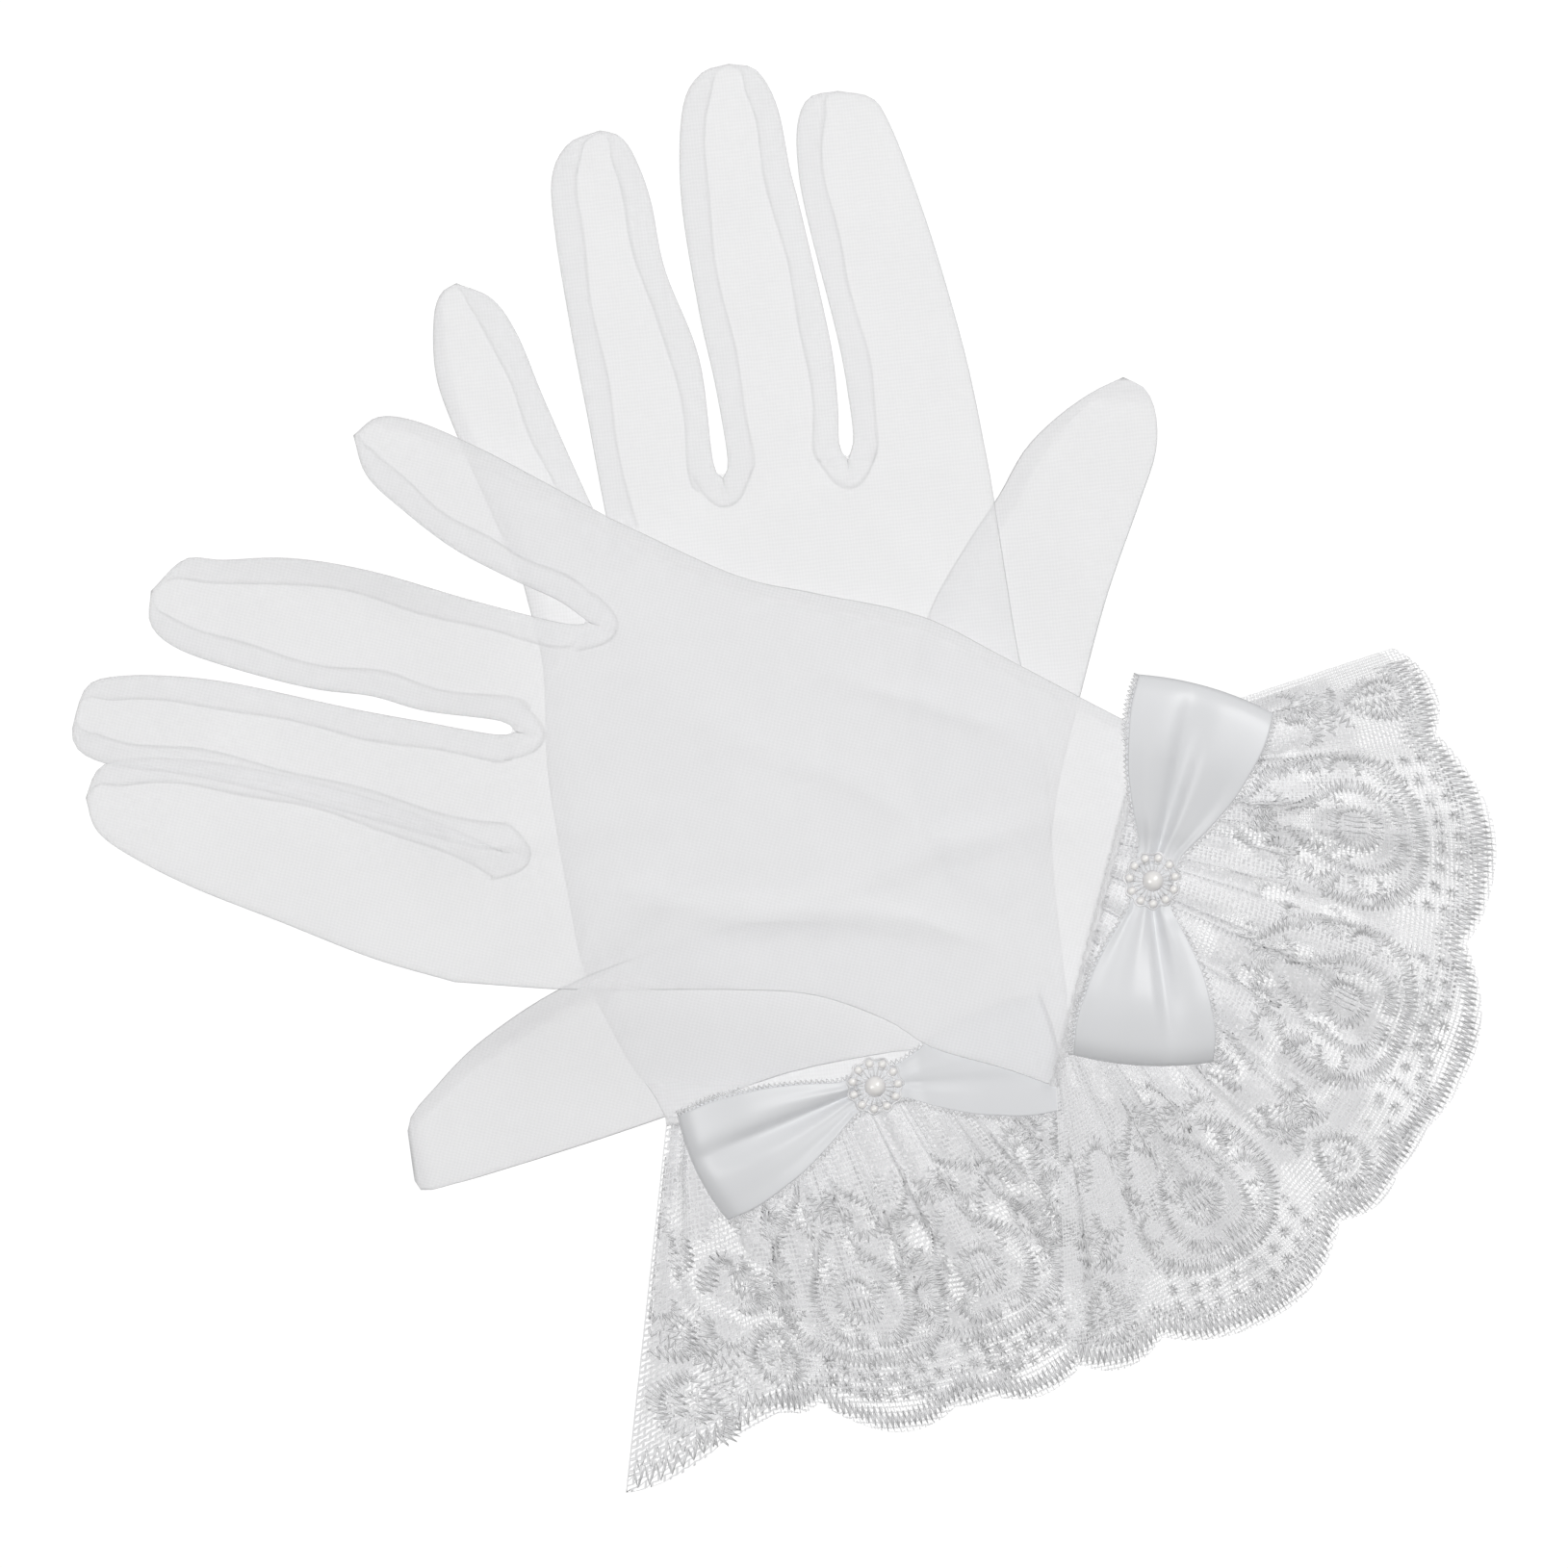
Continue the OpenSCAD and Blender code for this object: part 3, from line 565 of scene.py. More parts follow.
def hand_height(glove, x, y):
    """Height of the middle of the hand above the table, in mm."""
    folds = creases(x, y, CREASES[glove.side])
    if glove.side == "left":
        return glove.palm_z - 1.1 * smooth((y - 112) / 35) + 0.25 * drape(x, y, 1) + folds
    down = smooth((y - 106) / 42) * smooth((x + 34) / 16)
    low = 1.6 * smooth((x + y * 0.2 - 38) / 20) * smooth((y - 40) / 30)
    return glove.palm_z - 4.4 * down - 1.4 * smooth((y - 120) / 30) * (1 - smooth((x + 34) / 16)) \
        - low * (1 - down) + 0.35 * drape(x, y, 4) + folds


def roots(side):
    """The five points between which the stalls are rooted, from the little side."""
    first, last = PALM_SIDES[side]
    return [np.array(p, float) for p in (first[-1], *CROTCHES[side], last[-1])]


def sleeve(glove, name, squares, place, weave):
    """A closed sleeve of knit, whose grid goes once round it and along it."""
    return surface(f"{glove.side}_{name}", *squares, place, weave, closed=True,
                   material=sheer_knit(glove))


def build_palm(glove):
    """The hand of the trank: two sheets that meet along both sides of the palm."""
    first, last = (Curve(p) for p in PALM_SIDES[glove.side])
    root = roots(glove.side)
    widths = np.array([np.linalg.norm(q - p) for p, q in zip(root, root[1:])])
    starts = np.concatenate([[0], np.cumsum(widths)]) / widths.sum()
    pillow = sizes().pillow / MM

    def across(a):
        share, sheet = ring_share(a)
        k = np.clip((share * 4).astype(int), 0, 3)
        u = eased(share * 4 - k)
        return k, u, starts[k] + (starts[k + 1] - starts[k]) * u, sheet

    def place(a, b):
        k, u, w, sheet = across(a)
        root_line = np.array(root)[k] + (np.array(root)[k + 1] - np.array(root)[k]) * u[:, None]
        wrist = mix(first(0)[None], last(0)[None], w[:, None])
        chord_0 = mix(first(0), root[0], b[:, None])
        chord_1 = mix(last(0), root[-1], b[:, None])
        p = mix(wrist, root_line, b[:, None]) + (1 - w)[:, None] * (first(b) - chord_0) \
            + w[:, None] * (last(b) - chord_1)
        near_roots = smooth((b - 0.95) / 0.05)
        stand = pillow * mix(crown(w) * mix(0.7, 1, smooth(b / 0.15)), crown(u), near_roots)
        z = hand_height(glove, p[:, 0], p[:, 1]) + sheet * stand \
            + 0.12 * sheet * drape(p[:, 0] * 1.7, p[:, 1] * 1.7, 3 + sheet) * (stand > 0.1)
        return glove.at(p[:, 0], p[:, 1], z)

    def weave(a, b):
        # the seam on the little side has its 2.4 mm allowance turned in
        return np.where(across(a)[2] * widths.sum() < 2.4, 1.35, 1.0)

    piece = sleeve(glove, "palm", (8 * STALL_COLUMNS, 44), place, weave)
    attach(piece, glove.body)
    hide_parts(f"{glove.side}_trank")
    return piece


def stall_edges(side, finger):
    """The two edges of a stall, from the points where it meets its neighbours."""
    k = FINGERS.index(finger)
    root = roots(side)
    left, right = STALL_SIDES[side][finger]
    return Curve([root[k], *left]), Curve([root[k + 1], *right])


def bend_at_hinge(piece, glove, name):
    """Bakes the piece's place into its mesh; the stall's hinge is looked up, but the piece does not bend
    at it.
    """
    at, along = glove.hinges[name]
    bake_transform(piece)


def build_stall(glove, finger):
    """A finger stall: front and back sheet as a flattened sleeve with a rounded tip."""
    left, right = stall_edges(glove.side, finger)
    pillow = sizes().pillow / MM

    def place(a, b):
        u, sheet = across_sleeve(a)
        p = mix(left(b), right(b), u[:, None])
        stand = pillow * crown(u) * np.sqrt(np.clip((1 - b) / TIP, 0, 1))
        z = hand_height(glove, p[:, 0], p[:, 1]) + sheet * stand
        return glove.at(p[:, 0], p[:, 1], z)

    def weave(a, b):
        seam = (across_sleeve(a)[0] < 0.11) & (finger == "little")
        return np.where(seam, 1.3, 1.0) + 0.12 * smooth((b - 0.93) / 0.05)

    name = f"{glove.side}_{finger}"
    piece = sleeve(glove, finger + "_sleeve", (2 * STALL_COLUMNS, 46), place, weave)
    # the width at its root, its length, and its area, that of the tapering finger; its lay-flat cut adds
    # to these 1 mm of seam allowance on each side and 12 mm beyond root and tip
    width, length = np.linalg.norm(left(0) - right(0)), (left.length + right.length) / 2
    t = np.linspace(0, 1, 60)
    area = np.linalg.norm(left(t) - right(t), axis=1).mean() * length * MM * MM
    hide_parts(name + "_stall")
    bend_at_hinge(piece, glove, finger)
    return piece


def lay_folded(glove, verts, layer, a, fold, x, y):
    """Lays a strip folded in two at places (x, y): its halves part a little at their seams, and
    it is more open along its fold."""
    z = hand_height(glove, x, y) + np.sign(0.5 - a) * 0.1 * np.sqrt(np.clip(1 - fold, 0, 1)) \
        * (0.2 + fold)
    for v, place, f in zip(verts, glove.at(x, y, z), fold):
        v.co = place
        v[layer] = 0.6 - 0.2 * (f > 0.95)


def build_fourchettes(glove, finger):
    """The narrow strips let in along a stall, folded in two between its sheets."""
    k = FINGERS.index(finger)
    left, right = stall_edges(glove.side, finger)
    full = sizes().fourchette / MM
    bands = []
    if k > 0:
        bands.append((left, right))
    if k < 3:
        bands.append((right, left))
    bm = bmesh.new()
    layer = bm.verts.layers.float.new("weave")
    columns, rows = 10, 44
    for edge, other in bands:
        made = bmesh.ops.create_grid(bm, x_segments=columns, y_segments=rows, size=0.5)
        verts = made["verts"]
        flat = np.array([v.co for v in verts]) + 0.5
        a, b = np.round(flat[:, 0] * columns) / columns, flat[:, 1] * 0.965
        inward = other(b) - edge(b)
        inward /= np.maximum(np.linalg.norm(inward, axis=1, keepdims=True), 1e-9)
        fold = 1 - np.abs(2 * a - 1)
        width = full * (1 - 0.55 * smooth((b - 0.86) / 0.1)) * (1 + 0.07 * np.sin(b * 19 + k))
        p = edge(b) + inward * (0.12 + fold * width)[:, None]
        lay_folded(glove, verts, layer, a, fold, p[:, 0], p[:, 1])
    name = f"{glove.side}_{finger}_fourchette" + ("s" if len(bands) > 1 else "")
    piece = sheer(finished(name + "_strip", bm, sheer_knit(glove), merge=True))
    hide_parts(name)
    bend_at_hinge(piece, glove, finger)
    return piece


def build_fourchette_bends(glove):
    """Where a fourchette turns round the bottom of a slit, from one stall to the next."""
    bm = bmesh.new()
    layer = bm.verts.layers.float.new("weave")
    full = sizes().fourchette / MM
    for crotch in CROTCHES[glove.side]:
        made = bmesh.ops.create_grid(bm, x_segments=10, y_segments=16, size=0.5)
        flat = np.array([v.co for v in made["verts"]]) + 0.5
        fold = 1 - np.abs(2 * flat[:, 0] - 1)
        angle = math.pi * (1 + flat[:, 1])
        radius = 0.15 + fold * full * (1 + 0.1 * np.sin(angle * 3))
        x = crotch[0] + radius * np.cos(angle) * 1.12
        y = crotch[1] + radius * np.sin(angle) * 1.15 + 0.8
        lay_folded(glove, made["verts"], layer, flat[:, 0], fold, x, y)
    piece = sheer(finished(f"{glove.side}_fourchette_turns", bm, sheer_knit(glove), merge=True))
    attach(piece, glove.body)
    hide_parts(f"{glove.side}_fourchette_bends")
    return piece


def build_thumb(glove):
    """The thumb piece: sewn to an oval hole in the palm sheet, it lies under the hand."""
    left, right = (Curve(p) for p in THUMB_SIDES[glove.side])

    def height(x, y):
        if glove.side == "left":
            return glove.thumb_z + 0.15 * drape(x, y, 2)
        return glove.thumb_z - 3.5 * smooth((x - 34) / 26) + 0.15 * drape(x, y, 6)

    def place(a, b):
        u, sheet = across_sleeve(a)
        p = mix(left(b), right(b), u[:, None])
        stand = 0.5 * crown(u) * np.sqrt(np.clip(np.minimum(b, 1 - b) / TIP, 0, 1))
        return glove.at(p[:, 0], p[:, 1], height(p[:, 0], p[:, 1]) + sheet * stand)

    def weave(a, b):
        # the seam round the hole has its allowance turned in
        return 1.1 + 0.5 * ((b < 0.05) | (across_sleeve(a)[0] < 0.16) | (b > 0.93))

    name = f"{glove.side}_thumb"
    piece = sleeve(glove, "thumb_sleeve", (2 * STALL_COLUMNS, 52), place, weave)
    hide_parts(name + "_root", name + "_stall")
    bend_at_hinge(piece, glove, "thumb")
    return piece


# ---- lace cuffs -----------------------------------------------------------------------------
class Cuff:
    """The gathered fan of one layer of lace. A place on it is a share a across the fan and a
    distance r from the fan's middle."""

    def __init__(self, glove, layer):
        self.glove, self.layer = glove, layer
        self.front = layer == "front"
        self.__dict__.update(FANS[glove.side])
        large = self.large if self.front else self.large[::-1]
        lengths = [SCALLOP[size][0] for size in large]
        ends = np.cumsum(lengths) / sum(lengths)
        self.lobes = list(zip(np.concatenate([[0], ends[:-1]]), ends, large))
        self.spread = math.radians(self.end - self.start)
        self.arc = self.reach * self.spread

    def rim(self, a):
        """Reach of the fan, with the corner on the little side that hangs below it."""
        return self.reach + self.drop * np.clip(1 - a / 0.16, 0, 1) ** 1.6

    def wrist(self, a):
        """Distance at which the net meets the wrist, counted inwards from the rim."""
        theta = np.radians(self.start) + self.spread * a
        rim = self.rim(a)
        return rim - np.hypot(self.at[0] + rim * np.cos(theta) - mix(-self.half, self.half, a),
                              self.at[1] + rim * np.sin(theta) + WRIST_EDGE)

    def edge(self, a):
        """Distance of the scalloped edge from the fan's middle."""
        r = self.rim(a) - (0 if self.front else 2.5)
        for start, end, large in self.lobes:
            inside = (a >= start) & (a <= end)
            r = np.where(inside, r + SCALLOP[large][1] * np.sin(
                math.pi * np.clip((a - start) / (end - start), 0, 1)) ** 0.8, r)
        return r

    def place(self, a, r, lift=0.0):
        """Places in the scene, lift mm over the net."""
        a, r, lift = np.broadcast_arrays(np.asarray(a, float), r, lift)
        theta = np.radians(self.start) + self.spread * a
        rim = self.rim(a)
        out = np.stack([self.at[0] + rim * np.cos(theta), self.at[1] + rim * np.sin(theta)], axis=-1)
        wrist = np.stack([mix(-self.half, self.half, a), np.full_like(a, -WRIST_EDGE)], axis=-1)
        length = np.linalg.norm(out - wrist, axis=-1)
        b = 1 + (r - rim) / length
        # gathers fold the net over itself near the wrist and open into flutes at the edge
        near = np.clip(1 - b, 0, 1)
        folds = 13 if self.front else 11
        swing = 1.5 * near**1.2 * np.sin(2 * math.pi * folds * a) / (2 * math.pi * folds)
        p = wrist + (out - wrist) * b[..., None]
        sideways = np.stack([(wrist - out)[..., 1], (out - wrist)[..., 0]], axis=-1)
        p = p + sideways / length[..., None] * (swing * self.arc * mix(0.45, 1, b))[..., None]
        flute = 1.1 if self.front else 0.5
        z = flute * smooth(b / 0.5) * (np.sin(2 * math.pi * 5.5 * a + 1)
                                       + 0.5 * np.sin(2 * math.pi * 9.3 * a + 2.4)) \
            + 0.6 * near * np.sin(4 * math.pi * folds * a + 1.3)
        return self.glove.at(p[..., 0], p[..., 1], self.height(a, b) + z + lift)

    def height(self, a, b):
        """Height of the net above the table. The left cuff lies on it; the right one lies on the
        left one, and sinks past its edge, on the little side."""
        stand = 1.2 if self.front else -0.4
        if self.glove.side == "left":
            return 1.9 + stand
        lie = smooth((0.75 - a) / 0.3)
        return mix(5.9, 5.0, b) - 2.6 * lie * smooth((b - 0.1) / 0.7) + stand

    def lobe_place(self, lobe, x, y, lift=0.0):
        """Places by distance along a scallop's edge and inwards from its peak, in mm."""
        middle = (lobe[0] + lobe[1]) / 2
        return self.place(np.clip(middle + np.asarray(x) / self.arc, 0.004, 0.996),
                          self.edge(middle) - np.asarray(y), lift)


def build_net(glove, layer):
    """One layer of the cuff's net: hexagonal cells between flat threads, gathered at the wrist."""
    cuff = Cuff(glove, layer)
    cell = sizes().net_cell / MM
    row, slant = 0.86 * cell, 0.14 * cell
    depth = cuff.reach - 16
    columns, rows = int(cuff.arc / cell) * 2, int((depth + 8) / row)
    bm = bmesh.new()
    bmesh.ops.create_grid(bm, x_segments=columns, y_segments=rows, size=0.5)
    index = {}
    for v in bm.verts:
        i, j = round((v.co.x + 0.5) * columns), round((v.co.y + 0.5) * rows)
        index[v] = (i, j)
        v.co = (i * cell / 2, j * row + (slant if (i + j) % 2 else -slant), 0)
    # every other upright thread goes, which leaves six-sided cells laid like bricks
    spare = [e for e in bm.edges if index[e.verts[0]][0] == index[e.verts[1]][0]
             and (index[e.verts[0]][0] + min(index[v][1] for v in e.verts)) % 2
             and 0 < index[e.verts[0]][0] < columns]
    bmesh.ops.dissolve_edges(bm, edges=spare, use_verts=False)
    rims = bmesh.ops.inset_individual(bm, faces=bm.faces, thickness=sizes().net_thread / MM / 2,
                                      use_even_offset=True)["faces"]
    threads = set(rims)
    bmesh.ops.delete(bm, geom=[f for f in bm.faces if f not in threads], context="FACES")
    flat = np.array([v.co for v in bm.verts])
    a = np.clip(flat[:, 0] / (columns * cell / 2), 0, 1)
    b = np.clip(flat[:, 1] / (rows * row), 0, 1)
    # rows keep their spacing up to the highest scallops, and end where the edge is lower
    top = cuff.rim(a) + 6
    r = np.minimum(top - (1 - b) * (top - cuff.wrist(a)), cuff.edge(a))
    for v, p in zip(bm.verts, cuff.place(a, r)):
        v.co = p
    spent = [f for f in bm.faces if f.calc_area() < 2e-10]
    bmesh.ops.delete(bm, geom=spent, context="FACES")
    name = f"{glove.side}_net_{layer}"
    piece = sheer(finished(name, bm, nylon_net()))
    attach(piece, glove.body)
    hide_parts(f"{glove.side}_cuff_net")
    return piece


def build_net_folds(glove):
    """The folds that the gathers press into the net between its two layers: six thicknesses of
    net over each other, too fine to be told apart, so they are one sheet of uneven density."""
    cuff = Cuff(glove, "back")

    def fan(a, b):
        """Share across the fan and distance from its middle, inside the edges of the net."""
        a = mix(0.006, 0.994, a)
        return a, mix(cuff.wrist(a), cuff.edge(a) - 4.5, b)

    def place(a, b):
        return cuff.place(*fan(a, b), 0.9)

    def weave(a, b):
        # streaks run out from the wrist, and the net lies single round the medallions, among the
        # rows of knots and in patches between the motifs
        a, r = fan(a, b)
        inset = cuff.edge(a) - r
        open_net = 0.85 * smooth((13.5 - inset) / 2) * (0.55 if glove.side == "left" else 1)
        for start, end, large in cuff.lobes:
            middle = (start + end) / 2
            y = cuff.edge(middle) - r - (MEDALLION_DEPTH if large else 11)
            d = np.hypot((a - middle) * cuff.arc, y)
            ring = smooth((8.3 - d) / 0.7) if large else smooth((3 - d) / 0.8)
            if large:
                ring = smooth((d - 5.2) / 0.7) * ring
            open_net = np.maximum(open_net, 0.9 * ring)
        streak = np.sin(70 * a + 3 * np.sin(5 * b + 9 * a)) + np.sin(163 * a + 2 * np.sin(9 * b))
        patch = np.sin(47 * a + 11 * b + 2 * np.sin(17 * a)) * np.sin(17 * b - 23 * a + 1)
        open_net = np.maximum(open_net, smooth((patch - 0.2) / 0.25) * smooth((b - 0.2) / 0.2))
        return np.clip(1.6 + 0.2 * streak - 1.4 * open_net, 0.1, 1.9)

    piece = surface(f"{glove.side}_net_folds", 260, 70, place, weave, material=gathered_net())
    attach(piece, glove.body)


STITCH_ARCH = 0.3  # mm that a satin stitch rises in its middle


def zigzag(line, width, spread=1.0):
    """Corners (x, y, height) of satin stitches laid across a line, arched in their middles."""
    n = max(3, int(line.length / (sizes().stitch_pitch / MM * spread)))
    t = np.linspace(0, 1, n)
    half = np.array([width(x) for x in t]) / 2 * np.where(np.arange(n) % 2, 1, -1)
    ends = line(t) + line.across(t) * half[:, None]
    middles = (ends[1:] + ends[:-1]) / 2
    out = np.zeros((2 * n - 1, 3))
    out[::2, :2], out[1::2, :2], out[1::2, 2] = ends, middles, STITCH_ARCH
    return out


def arc(centre, radius, start, end, n):
    """Points of an arc, with directions in degrees from the scallop's edge."""
    angles = np.radians(np.linspace(start, end, n))
    return [(centre[0] + radius * math.sin(t), centre[1] - radius * math.cos(t)) for t in angles]


def leaf(at, turn, length, half):
    """Satin stitches of a leaf, slanting from its midrib."""
    d = np.array([math.sin(math.radians(turn)), -math.cos(math.radians(turn))])
    line = Curve([np.array(at), np.array(at) + d * length / 2, np.array(at) + d * length])
    return zigzag(line, lambda t: 2 * half * math.sin(math.pi * min(1, 0.08 + t * 0.92)) ** 0.7, 1.15)


def scroll(at, radius, start, end, width):
    """A comma: a satin-stitched hook that swells and comes to a point."""
    t = np.linspace(0, 1, 9)
    angle, r = np.radians(mix(start, end, t)), radius * (1 - 0.35 * t)
    points = np.stack([at[0] + r * np.sin(angle), at[1] - r * np.cos(angle)], axis=-1)
    return zigzag(Curve(points), lambda t: width * math.sin(math.pi * (0.12 + 0.88 * t)) + 0.3)


def star_knot():
    """A knot of eight short stitches round one point."""
    angle = math.tau * np.arange(17) / 16
    odd = np.arange(17) % 2
    r = np.where(odd, 1.15, 0.35)
    return np.stack([r * np.cos(angle), r * np.sin(angle), 0.4 - 0.2 * odd], axis=-1)


def large_motifs():
    """Embroidery of a large scallop as (kind, stitches) in the scallop's own x and y."""
    m = MEDALLION_DEPTH
    ring = Curve(arc((0, m), 4.1, 0, 354, 25))
    yield "medallions", zigzag(ring, lambda t: 2.3)
    for x in (-1.5, -0.5, 0.5, 1.5):
        yield "medallions", np.array([(x, m - 2.4, 0.1), (x, m, 0.4), (x, m + 2.4, 0.1)])
    # a crescent over the rows of knots, and two bands that frame the medallion as a dome
    crescent = Curve([(-4, 49), (-11, 41), (-16.2, 31), (-15.8, 21.5), (-11.5, 16.4), (-6, 14.4), (0, 14),
                      (6, 14.4), (11.5, 16.4), (15.8, 21.5), (16.2, 31), (11, 41), (4, 49)])
    yield "medallions", zigzag(crescent, lambda t: 1.3 + 1.6 * math.sin(math.pi * t))
    for s in (-1, 1):
        dome = Curve([(s * 0.8, m - 8.4), (s * 6, m - 7.8), (s * 9.4, m - 3.5), (s * 9.6, m + 2),
                      (s * 6.3, m + 8), (s * 1.5, m + 13)])
        yield "medallions", zigzag(dome, lambda t: 2.9 - 1.3 * t)
        yield "leaves", scroll((s * 13.4, m - 1.5), 3.4, 200 * s, -60 * s, 2.6)
        yield "leaves", scroll((s * 7.5, m + 14.5), 3.1, -150 * s, 90 * s, 2.3)
        yield "leaves", scroll((s * 14.5, m + 13), 2.6, 60 * s, 290 * s, 2)
        for y, turn, long in ((m + 3.5, 160, 6), (m + 5, 120, 5.5), (m + 9, 178, 7)):
            yield "leaves", leaf((s * 12.5, y), turn * s, long, 1.35)
        yield "leaves", leaf((s * 6.2, m + 1), 150 * s, 4.5, 1)
        yield "leaves", leaf((s * 4.5, m + 6), 190 * s, 4.5, 1)
    for turn in (-150, -115, 180, 115, 150):
        yield "leaves", leaf((0, m + 15), turn, 6.2, 1.35)


def small_motifs():
    """Embroidery of a small scallop."""
    for s in (-1, 1):
        drop = Curve([(s * 0.3, 5.6), (s * 3.4, 7), (s * 4.2, 10.5), (s * 2.4, 14), (0, 17)])
        yield "leaves", zigzag(drop, lambda t: 2.5 - 0.9 * t)
        yield "leaves", leaf((s * 1.2, 8.5), 175 * s, 5, 1)
        yield "leaves", scroll((s * 5, 26.5), 3.2, -140 * s, 110 * s, 2.4)
        yield "leaves", leaf((s * 2, 33), 165 * s, 6.5, 1.3)
        yield "leaves", scroll((s * 5.5, 39), 2.6, 80 * s, 300 * s, 2)
    for turn in (-140, -100, -60, 60, 100, 140, 180):
        yield "leaves", leaf((0, 20.5), turn, 6.4, 1.35)
    yield "leaves", leaf((0, 36), 180, 7, 1.3)


EDGING_INSET = 2.6  # from the scalloped edge to the middle of its satin stitches


def build_embroidery(glove):
    """The satin stitching, knots, medallions and sprays on both layers of a cuff."""
    pitch, radius = sizes().stitch_pitch / MM, sizes().thread
    paths = {"edging": [], "knots": [], "medallions": [], "leaves": []}
    for layer in ("front", "back"):
        cuff = Cuff(glove, layer)
        first = 0.015 if cuff.drop == 0 else 0.004  # the edging goes right into a hanging corner
        n = int(cuff.arc * 1.12 / (1.25 * pitch))
        a = np.linspace(first, 0.99, n)
        half = (1.7 + 0.3 * np.sin(a * 90)) * np.where(np.arange(n) % 2, 1, -1)
        r = cuff.edge(a) - EDGING_INSET + half
        ends = cuff.place(a, r, 0.05)
        middles = cuff.place((a[1:] + a[:-1]) / 2, (r[1:] + r[:-1]) / 2, 0.42)
        path = np.zeros((2 * n - 1, 3))
        path[::2], path[1::2] = ends, middles
        paths["edging"].append(path)
        for lobe in cuff.lobes:
            start, end, large = lobe
            for kind, stitches in (large_motifs() if large else small_motifs()):
                paths[kind].append(cuff.lobe_place(lobe, stitches[:, 0], stitches[:, 1],
                                                   stitches[:, 2] + 0.05))
            if not large:
                continue
            # two rows of knots follow the edge inside the edging
            for row in (0, 1):
                depth = 7.0 + 3.4 * row
                count = 9 - row
                share = (np.arange(count) + 0.5) / count * 0.84 + 0.08
                lie = mix(start, end, share)
                star = star_knot()
                for s, e in zip(lie, cuff.edge(lie)):
                    paths["knots"].append(cuff.place(s + star[:, 0] / cuff.arc,
                                                     e - depth + star[:, 1], star[:, 2]))
    for kind, members in paths.items():
        piece = sheer(thread_piece(f"{glove.side}_{kind}_stitches", members, radius, rayon_thread()))
        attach(piece, glove.body)
        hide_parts(f"{glove.side}_cuff_{kind}")


def build_wrist_binding(glove):
    """The seam that joins the gathered lace to the wrist, oversewn with thread."""
    half = FANS[glove.side]["half"]
    z = glove.palm_z

    def place(a, b):
        share, sheet = ring_share(a)
        x = mix(-half - 0.1, half + 0.1, b)
        y = 0.4 - 1.8 * share + 0.15 * np.sin(b * 160)
        return glove.at(x, y, z + sheet * (0.15 + 0.75 * np.sin(math.pi * share)))

    piece = sleeve(glove, "wrist_seam", (12, 120), place, lambda a, b: 1.25 + 0 * a)
    n = 150
    t = np.arange(n)
    x = mix(-half, half, t / (n - 1))
    y = np.where(t % 2, 0.5, -1.5)
    path = glove.at(x, y, z + 1.0 + 0.06 * np.sin(t))
    thread = thread_piece(f"{glove.side}_wrist_oversewing", [path], 0.06 * MM, rayon_thread())
    for made in (piece, thread):
        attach(made, glove.body)
    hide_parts(f"{glove.side}_wrist_binding")


# ---- bows and pearls ------------------------------------------------------------------------
class Bow:
    """Places on a glove's bow, along a loop and across it, in mm."""

    def __init__(self, glove):
        self.glove = glove
        self.__dict__.update(BOWS[glove.side])
        self.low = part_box(f"{glove.side}_bow_wrap")[0].z / MM

    def place(self, x, y, z, side, turn=None):
        """Places in the scene by distance along a loop, across it and over the bow's underside."""
        angle = math.radians(self.turn[0 if side < 0 else 1] if turn is None else turn)
        x = np.asarray(x) * side
        c, s = math.cos(angle), math.sin(angle)
        return self.glove.at(self.at[0] + x * c - y * s, self.at[1] + x * s + y * c, self.low + z)


LOOP_SETTINGS = {-1: ("little", 0.12, 1.7), 1: ("thumb", -0.3, 4.1)}  # end, crease, seed


